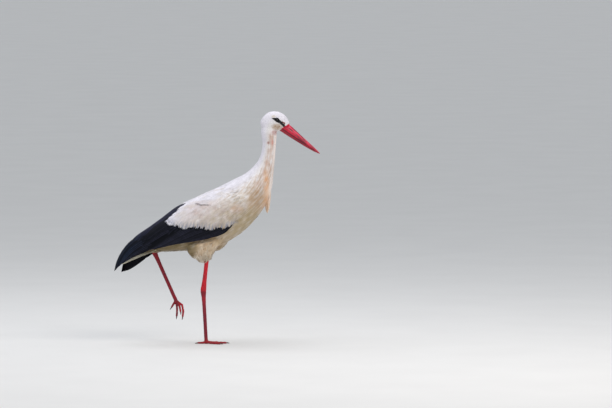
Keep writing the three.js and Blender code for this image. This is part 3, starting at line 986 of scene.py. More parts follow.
def show_feathers(name, grown, finish, colour_at, seed, replaced=(), tone=0.045, root_shade=0.88):
    """Makes pieces of at most PIECE_LIMIT feathers each."""
    source = np.random.default_rng(seed)
    count = len(grown["roots"])
    order = np.argsort(station(grown["roots"])[0], kind="stable")
    parts = np.array_split(order, math.ceil(count / PIECE_LIMIT))
    for number, part in enumerate(parts):
        points, normals = grown["points"][part], grown["normals"][part]
        size = points.shape[1]
        starts = np.arange(len(part)) * size
        faces = [(f[None] + starts[:, None, None]).reshape(-1, f.shape[1]) for f in VANE_FACES]
        label = name if len(parts) == 1 else f"{name}_{number + 1}"
        mesh = new_mesh(label, points.reshape(-1, 3), faces)
        under = np.concatenate([
            np.repeat(np.tile(flag, len(part)), f.shape[1]) for flag, f in zip(UNDER_FACES, VANE_FACES)
        ])
        corner = np.concatenate([f.ravel() for f in faces])
        flat = normals.reshape(-1, 3)[corner]
        middle = np.repeat(normals[:, 5], size, 0)[corner]
        mesh.normals_split_custom_set(np.where(under[:, None], -middle, flat))
        tints = colour_at(points.reshape(-1, 3)).reshape(len(part), size, 3)
        tints = tints * (1 + source.normal(0, tone, (len(part), 1, 1)))
        # painted shade: darker towards the root, where other feathers cover it, and a little at the edges
        tints = tints * mix(root_shade, 1.0, fade(0, 0.75, grown["run"]))[None, :, None]
        tints = tints * (1 - 0.05 * np.abs(grown["across"]))[None, :, None]
        paint(mesh, "plumage", tints.reshape(-1, 3))
        width = np.broadcast_to(np.asarray(grown["width"]), (count,))[part]
        vane = np.stack([
            0.5 + grown["across"][None] * width[:, None] / 2 / VANE_MAP[0],
            grown["run"][None] * grown["length"][part][:, None] / VANE_MAP[1]
            + source.random((len(part), 1)) * 0.5,
        ], 2)
        lay_map(mesh, "vane", vane.reshape(-1, 2))
        home = unwrap(grown["roots"][part])
        patch = np.stack([grown["across"] * 0.5, grown["run"] - 0.5], 1) * PATCH
        lay_map(mesh, "OFBake", (home[:, None] + patch[None]).reshape(-1, 2))
        place(label, mesh, [finish], replaced if number == 0 else ())


SOFT_RISE = [0.12, 0.42, 0.74, 0.88, 0.6]


def contour_style(p):
    """Length, width and depth of the body feathers at points p."""
    at = station(p)[0]
    stops = [0, 0.05, HEAD_END, 0.16, NECK_END, 0.38, 0.5, 0.9]
    length = np.interp(at, stops, np.array([4, 6, 9, 14, 21, 27, 31, 34]) * MM)
    width = np.interp(at, stops, np.array([1.9, 2.2, 2.6, 3.0, 3.8, 5.0, 6.4, 7.2]) * MM)
    wing = white_wing_share(p)
    thigh = both_thighs(p)
    length = mix(np.where(wing, 27 * MM, length), 19 * MM, thigh)
    width = mix(np.where(wing, 9 * MM, width), 3.2 * MM, thigh)
    shrink = 1 - 0.55 * fade(9 * MM, 0, face_gaps(p)[0]) * (p[:, 0] > FACE_FROM)
    return length * shrink, width * mix(1, shrink, 0.7), coat_depth(p)


def deep_in_white_wing(p):
    """Where the wing's own white feathers hide the body's."""
    return white_wing_share(p) & (white_wing_edge(p) > 14 * MM) & (p[:, 0] < 0.085)


def contour_spacing(p):
    width = contour_style(p)[1]
    covered = inside(BLACK_WING, p[:, [0, 2]]) & ~white_wing_share(p)
    return np.maximum(width * 0.62, 1.2 * MM) * np.where(covered, 2.4, 1)


def contour_feathers():
    def wanted(p):
        return (bare_share(p) < 0.5) & ~deep_in_white_wing(p) & ~under_fringe(p, 34 * MM, 12 * MM)
    roots = scatter(body_mesh, contour_spacing, 31, wanted)
    length, width, depth = contour_style(roots)
    style = {
        "length": length, "width": width, "depth": depth, "start": 0.14, "middle": 0.5, "end": 0.84,
        "rise": SOFT_RISE, "broad": (0.62, 1, 0.72),
    }
    show_feathers("coat", grow(roots, style, 32), WHITE_PLUMAGE, plumage_colour, 33)


contour_feathers()


# ---------------------------------------------------------------- wings

def roof_frames():
    """Centres, upward directions and radii of the wing roof along its length."""
    rows = spline(WING_ROOF, 14)
    along = unit(np.gradient(rows[:, :2], axis=0))
    return rows[:, :2], np.stack([-along[:, 1], along[:, 0]], 1), rows[:, 2:]


ROOF_CENTRE, ROOF_UP, ROOF_RADII = roof_frames()


def roof_mesh(to_place=None):
    angles = np.linspace(0, 2 * math.pi, 96, endpoint=False)
    rise = np.where(np.sin(angles) > 0, ROOF_RADII[:, :1], ROOF_RADII[:, 1:2]) * np.sin(angles)
    reach = ROOF_RADII[:, 2:] * np.cos(angles)
    side_view = ROOF_CENTRE[:, None] + ROOF_UP[:, None] * rise[:, :, None]
    points = np.stack([side_view[..., 0], MIDDLE + reach, side_view[..., 1]], 2)
    faces = grid_faces(len(points), len(angles), closed=True)
    if to_place:
        points, faces = to_place(points), faces[:, ::-1]
    return new_mesh("roof", points.reshape(-1, 3), [faces])


def far_wing(points):
    """The same places on the far wing, which is folded a little further forward."""
    turned = points.copy()
    turned[..., 1] = 2 * MIDDLE - points[..., 1]
    x, z = points[..., 0] - FAR_WING_PIVOT[0], points[..., 2] - FAR_WING_PIVOT[1]
    c, s = math.cos(FAR_WING_DROOP), math.sin(FAR_WING_DROOP)
    turned[..., 0] = FAR_WING_PIVOT[0] + FAR_WING_SLIP + x * c - z * s
    turned[..., 2] = FAR_WING_PIVOT[1] + x * s + z * c
    return turned


ROOF = surface_of(roof_mesh())
FAR_ROOF = surface_of(roof_mesh(far_wing))


def on_roof(side_view):
    """Points on the near half of the wing roof, from their places seen from the side."""
    gaps = np.linalg.norm(side_view[:, None] - ROOF_CENTRE[None], axis=2)
    near = gaps.argmin(1)
    height = ((side_view - ROOF_CENTRE[near]) * ROOF_UP[near]).sum(1)
    tall = np.where(height > 0, ROOF_RADII[near, 0], ROOF_RADII[near, 1])
    share = np.clip(height / tall, -0.97, 0.995)
    centre = ROOF_CENTRE[near] + ROOF_UP[near] * (share * tall)[:, None]
    return np.stack([centre[:, 0], MIDDLE - ROOF_RADII[near, 2] * np.sqrt(1 - share ** 2), centre[:, 1]], 1)


def flight_feather(controls, half_width, sunk, source, rings=34, columns=7, outer=1.0, blunt=0.86,
                   root_sunk=None, tip_sunk=0.0, tilt=1.1 * MM, thick=0.5 * MM, guide=None, lateral=None):
    """One long feather on a guide surface: a closed vane with a raised shaft, along a line in side view."""
    line = spline(np.array(controls) * MM, 16)
    at = np.concatenate([[0], np.cumsum(np.linalg.norm(np.diff(line, axis=0), axis=1))])
    share = np.linspace(0, 1, rings)
    share = 1 - (1 - share) ** 1.25
    line = np.stack([np.interp(share * at[-1], at, line[:, i]) for i in (0, 1)], 1)
    if guide is None:
        guide, begin = ROOF, on_roof(line)
    else:
        begin = np.stack([line[:, 0], MIDDLE + mix(*lateral, share), line[:, 1]], 1)
    middle, ups = nearest(guide, begin)
    along = unit(np.gradient(middle, axis=0))
    left = unit(np.cross(ups, along))
    u = np.linspace(-1, 1, columns)
    start = fade(-0.04, 0.1, share) * 0.6 + 0.4
    tip = np.sqrt(np.clip(1 - (np.clip(share - blunt, 0, 1) / (1 - blunt + 1e-6)) ** 2.2, 0, 1))
    half = half_width * start * np.maximum(tip, 0.03)
    ragged = 1 + source.normal(0, 0.004, (rings, 1)) * np.abs(u) ** 2
    notch = np.ones((rings, columns))
    for _ in range(source.integers(0, 3)):
        row = source.integers(rings // 2, rings - 2)
        notch[row, source.choice([0, columns - 1])] = source.uniform(0.8, 0.94)
    reach = u * np.where(u > 0, 1.0, outer) * half[:, None] * ragged * notch
    slant = np.abs(u) * half[:, None] * 0.35
    spots = middle[:, None] + left[:, None] * reach[:, :, None] - along[:, None] * slant[:, :, None]
    flat, flat_ups = nearest(guide, spots.reshape(-1, 3))
    flat, flat_ups = flat.reshape(spots.shape), flat_ups.reshape(spots.shape)
    root_sunk = sunk if root_sunk is None else root_sunk
    drop = mix(root_sunk, sunk, fade(0.02, 0.2, share))[:, None]
    shaft = 0.45 * MM * np.exp(-(u / 0.12) ** 2) * (1 - 0.7 * share)[:, None]
    lean = tilt * u - 0.3 * MM * u ** 2
    pressed = tip_sunk * fade(0.72, 1, share)[:, None]
    height = -drop + shaft + lean - pressed
    top = flat + flat_ups * height[:, :, None]
    bottom = top - flat_ups * (thick * (1 - 0.35 * np.abs(u)) + shaft)[:, :, None]
    return {
        "top": top, "bottom": bottom, "u": u * half_width, "share": share, "length": at[-1],
    }


def feather_pieces(feathers, to_place=None):
    """Vertices, faces, normals, maps and shares of several long feathers in one set of arrays."""
    points, faces, corner_normals, vane, run, across, owner = [], [], [], [], [], [], []
    start = 0
    for number, f in enumerate(feathers):
        top, bottom = f["top"], f["bottom"]
        if to_place:
            top, bottom = to_place(top), to_place(bottom)
        rings, columns = top.shape[:2]
        du, dv = np.gradient(top, axis=0), np.gradient(top, axis=1)
        ups = unit(np.cross(du, dv)) * (-1 if to_place else 1)
        size = rings * columns
        upper = grid_faces(rings, columns, start=start)[:, ::-1]
        lower = grid_faces(rings, columns, start=start + size)
        index = np.arange(size).reshape(rings, columns) + start
        rim = np.concatenate([index[:, 0], index[-1, 1:], index[-2::-1, -1], index[0, -2:0:-1]])
        following = np.roll(rim, -1)
        walls = np.stack([rim, following, following + size, rim + size], 1)
        points += [top.reshape(-1, 3), bottom.reshape(-1, 3)]
        faces.append(np.vstack([upper, lower, walls]))
        flat_ups = ups.reshape(-1, 3)
        corner_normals += [flat_ups[(upper - start).ravel()], -flat_ups[(lower - start - size).ravel()]]
        middle = top.mean(1)[:, None].repeat(columns, 1).reshape(-1, 3)
        outward = unit(top.reshape(-1, 3) - middle + 1e-9)
        corner_normals.append(outward[((walls - start) % size).ravel()])
        local = np.stack([
            0.5 + np.broadcast_to(f["u"] / VANE_MAP[0], (rings, columns)),
            np.broadcast_to(
                (f["share"] * f["length"] / VANE_MAP[1])[:, None] + number * 0.37, (rings, columns)
            ),
        ], 2).reshape(-1, 2)
        vane += [local, local]
        run += [np.repeat(f["share"], columns)] * 2
        across += [np.tile(np.linspace(-1, 1, columns), rings)] * 2
        owner += [np.full(size * 2, number)]
        start += size * 2
    return [np.concatenate(a) for a in (points, faces, corner_normals, vane, run, across, owner)]


def outward_faces(points, faces, normals):
    """Turns round the faces that look against the normals wanted for them, and mends the odd corner."""
    a, b, c, d = (points[faces[:, i]] for i in range(4))
    facing = unit(np.cross(c - a, d - b))
    corners = normals.reshape(len(faces), 4, 3)
    wrong = (facing * corners.mean(1)).sum(1) < 0
    faces[wrong], corners[wrong] = faces[wrong][:, ::-1], corners[wrong][:, ::-1]
    facing[wrong] *= -1
    against = (corners * facing[:, None]).sum(2) < 0.15
    corners = np.where(against[:, :, None], facing[:, None], corners)
    return faces, corners.reshape(-1, 3)


def show_long_feathers(name, feathers, finish, colour_at, seed, to_place=None, replaced=()):
    source = np.random.default_rng(seed)
    points, faces, normals, vane, run, across, owner = feather_pieces(feathers, to_place)
    faces, normals = outward_faces(points, faces, normals)
    mesh = new_mesh(name, points, [faces])
    mesh.normals_split_custom_set(normals)
    tints = colour_at(points, run, across, source.random(len(feathers))[owner])
    paint(mesh, "plumage", tints)
    lay_map(mesh, "vane", vane)
    first = np.concatenate([[0], np.cumsum(np.bincount(owner))[:-1]])
    patch = np.stack([across * 0.5, run - 0.5], 1) * PATCH
    lay_map(mesh, "OFBake", unwrap(points[first])[owner] + patch)
    place(name, mesh, [finish], replaced)


def black_colour(points, run, across, draw):
    """Near-black, with a painted violet-blue sheen along the back, a painted blue-green sheen towards the
    rear, a paler rim on each vane and painted shade on its lower, covered side.
    """
    side_view = points[:, [0, 2]]
    gaps = np.linalg.norm(side_view[:, None] - ROOF_CENTRE[None, ::4], axis=2)
    near = gaps.argmin(1) * 4
    height = ((side_view - ROOF_CENTRE[near]) * ROOF_UP[near]).sum(1) / ROOF_RADII[near, 0]
    colour = plain((0.03, 0.033, 0.05), points)
    # painted sheen: violet-blue on the top of the folded wing
    colour = tinted(colour, (0.12, 0.11, 0.26), fade(0.6, 1.0, height) * 0.6)
    # painted sheen: blue-green on the upper side towards the rear
    rear_sheen = fade(-0.2, -0.33, points[:, 0])
    colour = tinted(colour, (0.07, 0.13, 0.20), rear_sheen * fade(-0.3, 0.5, height) * 0.6)
    rim = fade(0.7, 1.0, across) * 0.6 + fade(0.9, 1.0, run) * 0.35
    colour = tinted(colour, (0.20, 0.20, 0.26), np.clip(rim, 0, 0.7))
    shade = fade(0.3, -0.6, across) * 0.45
    colour = colour * (1 - shade)[:, None] * (0.55 + 0.8 * draw)[:, None]
    return linear(colour)


def between(low, high, share):
    return mix(np.array(low, float), np.array(high, float), share)


def feather_row(source, count, first, last, widths, sunk, stagger=0.0, **shape):
    """Feathers between a first and a last line, one on another."""
    row = []
    for i in range(count):
        share = i / (count - 1)
        line = between(first, last, share)
        line[-1] += (line[-1] - line[-2]) * source.uniform(-stagger, stagger)
        row.append(flight_feather(line, mix(*widths, share) * MM, mix(*sunk, share) * MM, source, **shape))
    return row


def wing_feathers(source, lowest):
    """All the long feathers of a folded wing, the deepest first; lowest is its outermost feather's line."""
    return (
        feather_row(source, 10, lowest, [(-170, 468), (-250, 432), (-303, 394), (-340, 345), (-361, 285)],
                    (9, 12), (5.8, 3.0), 0.06, outer=0.8, blunt=0.74)
        + feather_row(source, 16, [(108, 481), (70, 442), (14, 424), (-45, 412), (-104, 402)],
                      [(10, 520), (-60, 485), (-120, 452), (-185, 410), (-240, 368)],
                      (9, 15), (5.4, 2.8), 0.12, blunt=0.78, root_sunk=9 * MM, tip_sunk=1.8 * MM)
        + feather_row(source, 18, [(116, 492), (98, 472), (78, 455)], [(-96, 512), (-140, 480), (-190, 434)],
                      (7, 12), (3.0, 2.2), 0.2, rings=24, root_sunk=9 * MM, tip_sunk=1.6 * MM)
        + feather_row(source, 12, [(-40, 502), (-120, 470), (-196, 426), (-266, 372)],
                      [(-50, 572), (-122, 540), (-206, 484), (-296, 398)],
                      (13, 15), (2.8, 0.8), 0.16, blunt=0.6, root_sunk=8 * MM, tip_sunk=3.4 * MM)
    )


NEAR_LOWEST = [(-140, 406), (-205, 384), (-250, 366), (-290, 348), (-332, 318)]
FAR_LOWEST = [(-140, 402), (-205, 372), (-250, 350), (-296, 318), (-342, 286)]
WING_PARTS = ("secondaries", "tertials", "primaries")


def show_wing(side, lowest, seed, to_place):
    feathers = wing_feathers(np.random.default_rng(seed), lowest)
    show_long_feathers(f"wing_{side}_feathers", feathers, BLACK_PLUMAGE, black_colour,
                       seed + 1, to_place, [f"wing_{side}_{part}" for part in WING_PARTS])


show_wing("right", NEAR_LOWEST, 41, None)
show_wing("left", FAR_LOWEST, 43, far_wing)


# ---------------------------------------------------------------- white wing, tail, breast and thighs

WHITE_REACH = np.array([  # the tips of the white feathers stay in this outline
    (-158, 483), (-115, 440), (100, 440), (136, 490), (180, 530), (180, 620), (-10, 620), (-62, 565),
]) * MM
# painted shadow: the dark slit of shade between two groups of coverts
SHADOW_SLIT = np.array([(-38, 553), (-20, 548), (2, 549), (16, 547)]) * MM  # dark gap between two groups of coverts


def white_wing_colour(points):
    """White, blue-grey in streaks where it hangs over the black, with a painted shadow along the slit between
    two groups of coverts.
    """
    side_view = points[:, [0, 2]]
    low = fade(26 * MM, -6 * MM, fringe_gap(side_view))
    streak = ripple(points * [1, 1, 0.12], 0.005, 61)
    warm = fade(0.2, 1.0, ripple(points, 0.03, 67)) * 0.4
    colour = mix(plumage_colour(points), linear((0.84, 0.80, 0.76)), warm[:, None])
    colour = mix(colour, linear((0.54, 0.56, 0.63)), (low * np.clip(0.52 + 0.6 * streak, 0, 0.95))[:, None])
    # painted shadow in the slit between two groups of coverts
    slit = fade(3.2 * MM, 0.8 * MM, gap_to_line(side_view, SHADOW_SLIT, np.zeros(len(SHADOW_SLIT))))
    return mix(colour, linear((0.26, 0.22, 0.21)), (slit * 0.85)[:, None])


def white_wing_lie(p):
    """Back along the wing at its top, and down where the plumes hang over the black."""
    low = fade(70 * MM, 6 * MM, fringe_gap(p[:, [0, 2]]))[:, None]
    sway = ripple(p, 0.035, 62)[:, None]
    back = fade(-0.04, -0.13, p[:, 0])[:, None]
    down = mix(np.array([-0.34, 0, -0.94]), np.array([-0.8, 0, -0.6]), back)
    return unit(mix(np.array([-0.86, 0, -0.5]), down, low) + sway * np.array([0.16, 0, -0.1]))


def white_room(spots, heading, reach):
    """How far a feather can run from each spot before it leaves the white."""
    fingers = ripple(spots[:, :1], 0.011, 66) * 6 * MM - 3 * MM
    open_way, room = np.ones(len(spots), bool), np.zeros(len(spots))
    for step in np.arange(0, reach, 1.5 * MM):
        here = spots + heading * step
        open_way &= inside(WHITE_REACH, here) & (fringe_gap(here) > fingers)
        room = np.where(open_way, step, room)
    return room


def show_white_wing(side, surface, to_place):
    """The white coverts, laid on the roof so that their tips make its edges."""
    def low_down(p):
        return fade(42 * MM, 8 * MM, fringe_gap(p[:, [0, 2]]))

    def wanted(p):
        front = 0.122 - 0.15 * np.abs(p[:, 2] - 0.53) + 0.014 * ripple(p, 0.009, 69)
        return (p[:, 1] < MIDDLE - 6 * MM) & inside(WHITE_REACH, p[:, [0, 2]]) & (p[:, 0] < front)

    source = np.random.default_rng(63)
    spots = scatter(roof_mesh(), lambda p: mix(4.0, 2.5, low_down(p)) * MM, 68, wanted)
    hanging = low_down(spots)
    room = white_room(spots[:, [0, 2]], unit(white_wing_lie(spots)[:, [0, 2]]), 36 * MM)
    room += source.uniform(-1.5, mix(1.0, 5.0, hanging), len(spots)) * MM
    length = np.minimum(source.uniform(20, 30, len(spots)) * MM, room)
    keep = room > 8 * MM
    spots, length, hanging = spots[keep], length[keep], hanging[keep]
    roots, _ = nearest(surface, to_place(spots) if to_place else spots)
    style = {
        "length": length, "width": mix(7.0, 2.6, hanging) * MM, "depth": 1.0 * MM, "start": 0.16,
        "middle": 0.52, "end": 0.84, "rise": [-3.4, -1.8, -0.3, 0.5, 0.1], "broad": (0.75, 1, 0.74),
    }
    grown = grow(roots, style, 64, white_wing_lie, surface, twist=0.1)
    show_feathers(f"wing_{side}_white", grown, WHITE_PLUMAGE, white_wing_colour, 65)


show_white_wing("right", ROOF, None)
show_white_wing("left", FAR_ROOF, far_wing)


TAIL_ROWS = np.array([  # x, z, height, depth, half width
    (-335, 304, 3, 3, 27), (-328, 306.5, 4, 4, 27), (-300, 318, 5, 5, 28), (-250, 338, 7, 7, 28),
    (-200, 360, 9, 9, 24), (-140, 392, 8, 8, 20),
]) * MM
TAIL_FEATHERS = 12


def tail_surface():
    """A gentle arch that the tail feathers lie on."""
    rows = spline(TAIL_ROWS, 8)
    across = np.linspace(-1.3, 1.3, 21)
    tall = rows[:, 2:3] * (0.9 - 1.6 * across ** 2)
    points = np.stack([rows[:, :1] - 0.4 * tall, MIDDLE + rows[:, 4:] * across, rows[:, 1:2] + tall], 2)
    mesh = new_mesh("tail_arch", points.reshape(-1, 3), [grid_faces(len(rows), 21)])
    tree = surface_of(mesh)
    bpy.data.meshes.remove(mesh)
    return tree


def tail_colour(points, run, across, draw):
    # painted shade: the white tail in shade, yellowed by green light from the grass
    colour = plain(CREAM_SHADE, points)
    colour = tinted(colour, (0.78, 0.73, 0.60), fade(0.75, 1, np.abs(across)) * 0.5)
    return linear(colour * (0.94 + 0.08 * draw)[:, None])


def show_tail():
    source = np.random.default_rng(71)
    arch = tail_surface()
    feathers = []
    order = sorted(range(TAIL_FEATHERS), key=lambda i: -abs(i - (TAIL_FEATHERS - 1) / 2))
    for layer, i in enumerate(order):
        spread = i / (TAIL_FEATHERS - 1) * 2 - 1
        line = [(-146, 397), (-200, 366), (-250, 343), (-300, 321), (-333 + 3 * spread ** 2, 306.5)]
        feathers.append(flight_feather(
            line, 11 * MM, (6.5 - 0.45 * layer) * MM, source, rings=26, blunt=0.9, guide=arch,
            lateral=(7 * spread * MM, 17 * spread * MM),
        ))
    show_long_feathers("tail_feathers", feathers, WHITE_PLUMAGE, tail_colour, 72,
                       replaced=["tail"])


show_tail()


PLUME_ROWS = np.array([  # height, x of its middle, reach to the front, to the back and to each side
    (510, 238.5, 1.5, 2, 2.5), (524, 240, 5, 10, 11), (545, 243, 6.5, 18, 18), (575, 246.5, 7, 22, 21),
    (606, 248.5, 5.8, 20, 19), (640, 248, 4.4, 16, 17), (690, 245, 1, 12, 14),
]) * MM
PLUME_LANCES = 1300


def plume_point(z, turn, share):
    """A place in the hanging plume, by height, angle round its middle line and share of its reach."""
    x, fore, aft, side = (np.interp(z, PLUME_ROWS[:, 0], PLUME_ROWS[:, i]) for i in (1, 2, 3, 4))
    ahead = np.where(np.cos(turn) > 0, fore, aft)
    spot = np.stack([x + share * ahead * np.cos(turn), MIDDLE + share * side * np.sin(turn), z], -1)
    return spot, unit(np.stack([np.cos(turn) + 0.25, np.sin(turn) * 0.9, np.full_like(z, -0.12)], -1))


def plume_colour(points):
    front = fade(0.238, 0.252, points[:, 0])
    streak = ripple(points * [1, 1, 0.15], 0.004, 81)
    share = np.clip(0.3 + 0.3 * streak + 0.5 * front + 0.5 * fade(0.6, 0.66, points[:, 2]), 0, 1)
    return linear(mix(np.array((0.84, 0.69, 0.55)), np.array((0.92, 0.86, 0.82)), share[:, None]))


def show_plume():
    """The long feathers of the lower throat, which hang free in a point in front of the breast."""
    source = np.random.default_rng(82)
    count = PLUME_LANCES
    turn = source.uniform(-0.72, 0.72, count) * math.pi
    begin = source.uniform(0.56, 0.688, count)
    end = np.minimum(0.5105 + source.uniform(0, 1, count) ** 1.4 * 0.075, begin - 0.035)
    style = {
        "width": source.uniform(1.3, 2.5, count) * MM, "start": 0.14, "middle": 0.5, "end": 0.86,
        "broad": (0.8, 1, 0.6),
    }
    shares = ring_shares(style)
    z = begin[:, None] + (end - begin)[:, None] * shares
    drift = turn[:, None] + source.normal(0, 0.14, (count, 1)) * shares
    depth = source.uniform(0.6, 1.0, count)[:, None] ** 0.5 * mix(0.9, 1.0, shares)
    path, ups = plume_point(z, drift, depth)
    grown = vanes(path, ups, style, source, begin - end, path[:, 0])
    show_feathers("breast_plume_feathers", grown, WHITE_PLUMAGE, plume_colour, 83,
                  ["breast_plume"], tone=0.08)


show_plume()


def hem_roots(side):
    """Roots for the ragged tufts of a thigh, closer together at its lower end."""
    def low(p):
        return p[:, 2] < 0.372 if side == "right" else p[:, 0] < -0.03
    def spacing(p):
        return np.where(low(p), 2.7, 4.4) * MM
    def wanted(p):
        return (thigh_share(p, side) > 0.7) & (p[:, 2] < 0.40) & (p[:, 2] > 0.338)
    return scatter(body_mesh, spacing, 91, wanted)


def hem_colour(p):
    pale = fade(0.0, 0.9, ripple(p, 0.01, 93)) * 0.6 + fade(0.368, 0.342, p[:, 2]) * 0.45
    dark = fade(0.1, -0.8, ripple(p, 0.014, 95))[:, None]
    colour = mix(plumage_colour(p), linear((0.90, 0.86, 0.79)), np.clip(pale, 0, 1)[:, None])
    return mix(colour, linear((0.52, 0.41, 0.29)), dark * 0.4)


def show_hems():
    """Loose tufts where the thighs end and the bare legs begin."""
    for side in SIDES:
        roots = hem_roots(side)
        source = np.random.default_rng(94)
        count = len(roots)
        loose = fade(0.375, 0.345, roots[:, 2]) * source.random(count) ** 2
        style = {
            "length": source.uniform(14, 34, count) * MM, "width": source.uniform(2.2, 4.0, count) * MM,
            "depth": (source.uniform(4.5, 7.5, count) + 6 * loose) * MM,
            "start": 0.16, "middle": 0.5, "end": 0.82,
            "rise": [-0.1, 0.45, 0.85, 1.0, 0.95], "broad": (0.75, 1, 0.6),
        }
        grown = grow(roots, style, 95, twist=0.26)
        show_feathers(f"thigh_{side}_tufts", grown, WHITE_PLUMAGE, hem_colour, 96,
                      tone=0.08)


show_hems()


# ---------------------------------------------------------------- scales of the legs

SCALE_SPACING = 2.5 * MM
SCALE_HEIGHT = 0.42 * MM


def scale_tree():
    """Geometry Nodes: small six-sided plates over a surface, evenly spaced."""
    tree = bpy.data.node_groups.new("leg_scales", "GeometryNodeTree")
    tree.interface.new_socket("Geometry", in_out="INPUT", socket_type="NodeSocketGeometry")
    sizes = {"Spacing": SCALE_SPACING, "Radius": SCALE_SPACING * 0.68, "Height": SCALE_HEIGHT}
    for label, value in sizes.items():
        tree.interface.new_socket(label, in_out="INPUT", socket_type="NodeSocketFloat").default_value = value
    tree.interface.new_socket("Finish", in_out="INPUT", socket_type="NodeSocketMaterial")
    tree.interface.new_socket("Geometry", in_out="OUTPUT", socket_type="NodeSocketGeometry")
    add, link = tree.nodes.new, tree.links.new
    given, end = add("NodeGroupInput").outputs, add("NodeGroupOutput").inputs
    spread = add("GeometryNodeDistributePointsOnFaces")
    spread.distribute_method = "POISSON"
    spread.inputs["Density Max"].default_value = 900000
    spread.inputs["Seed"].default_value = 5
    link(given["Geometry"], spread.inputs["Mesh"])
    link(given["Spacing"], spread.inputs["Distance Min"])
    where = add("GeometryNodeInputPosition")
    store = add("GeometryNodeStoreNamedAttribute")
    store.data_type = "FLOAT_VECTOR"
    store.inputs["Name"].default_value = "root"
    link(spread.outputs["Points"], store.inputs["Geometry"])
    link(where.outputs[0], store.inputs["Value"])
    plate = add("GeometryNodeMeshCone")
    plate.inputs["Vertices"].default_value = 6
    link(given["Radius"], plate.inputs["Radius Bottom"])
    top = add("ShaderNodeMath")
    top.operation = "MULTIPLY"
    top.inputs[1].default_value = 0.62
    link(given["Radius"], top.inputs[0])
    link(top.outputs[0], plate.inputs["Radius Top"])
    link(given["Height"], plate.inputs["Depth"])
    spot = add("GeometryNodeInstanceOnPoints")
    link(store.outputs["Geometry"], spot.inputs["Points"])
    link(plate.outputs["Mesh"], spot.inputs["Instance"])
    link(spread.outputs["Rotation"], spot.inputs["Rotation"])
    size = add("FunctionNodeRandomValue")
    size.inputs[2].default_value = 0.86
    size.inputs[3].default_value = 1.12
    size.inputs["Seed"].default_value = 9
    link(size.outputs[1], spot.inputs["Scale"])
    real = add("GeometryNodeRealizeInstances")
    link(spot.outputs["Instances"], real.inputs["Geometry"])
    finish = add("GeometryNodeSetMaterial")
    link(real.outputs["Geometry"], finish.inputs["Geometry"])
    link(given["Finish"], finish.inputs["Material"])
    link(finish.outputs["Geometry"], end["Geometry"])
    return tree


def show_scales():
    carrier = bpy.data.objects.new("scale_carrier", leg_mesh)
    bpy.context.scene.collection.objects.link(carrier)
    layer = carrier.modifiers.new("scales", "NODES")
    layer.node_group = scale_tree()
    for socket in layer.node_group.interface.items_tree:
        if socket.name == "Finish":
            layer[socket.identifier] = LEG_SKIN
    found = carrier.evaluated_get(bpy.context.evaluated_depsgraph_get())
    mesh = bpy.data.meshes.new_from_object(found)
    bpy.data.objects.remove(carrier)
    mesh.name = "leg_scales"
    p = vectors_of(mesh.vertices, "co")
    p[:, 2] = np.maximum(p[:, 2], 0)
    mesh.vertices.foreach_set("co", p.astype(np.float32).ravel())
    roots = vectors_of(mesh.attributes["root"].data, "vector")
    tone = ripple(roots, 0.0011, 101)
    colours = leg_colour(roots) * (1 + 0.14 * tone[:, None])
    # painted shade: each scale lighter on its top and darker at its foot, between the scales
    raised = np.linalg.norm(p - roots, axis=1) < SCALE_SPACING * 0.55
    paint(mesh, "plumage", colours * np.where(raised, 1.05, 0.72)[:, None])
    mesh.attributes.remove(mesh.attributes["root"])
    home = unwrap(roots)
    low, high = p - roots, SCALE_SPACING
    patch = np.stack([low[:, 0] + low[:, 1], low[:, 2]], 1) / high * PATCH / 2
    lay_map(mesh, "OFBake", home + patch)
    mesh.materials.clear()
    place("leg_scales", mesh, [LEG_SKIN])


show_scales()


# ---------------------------------------------------------------- bill

BILL_ALONG = unit(BILL_TIP - GAPE)
BILL_UP = np.array([-BILL_ALONG[1], BILL_ALONG[0]])
BILL_LENGTH = float(np.linalg.norm(BILL_TIP - GAPE))
UPPER_ROWS = [  # distance from the gape, height of the mandible, half width
    (-14, 24, 11), (20, 27, 12.6), (45, 23.5, 11), (82, 17.5, 8.4), (119, 12, 6.2), (150, 7.2, 4.2),
    (167, 3.8, 2.6), (BILL_LENGTH / MM, 1, 0.9),
]
LOWER_ROWS = [
    (-10, 11, 10.5), (20, 11, 12), (45, 10.4, 10.4), (82, 9.4, 7.9), (119, 7.8, 5.7), (150, 5.2, 3.8),
    (165, 2.8, 2.3), (BILL_LENGTH / MM - 2, 0.9, 0.8),
]


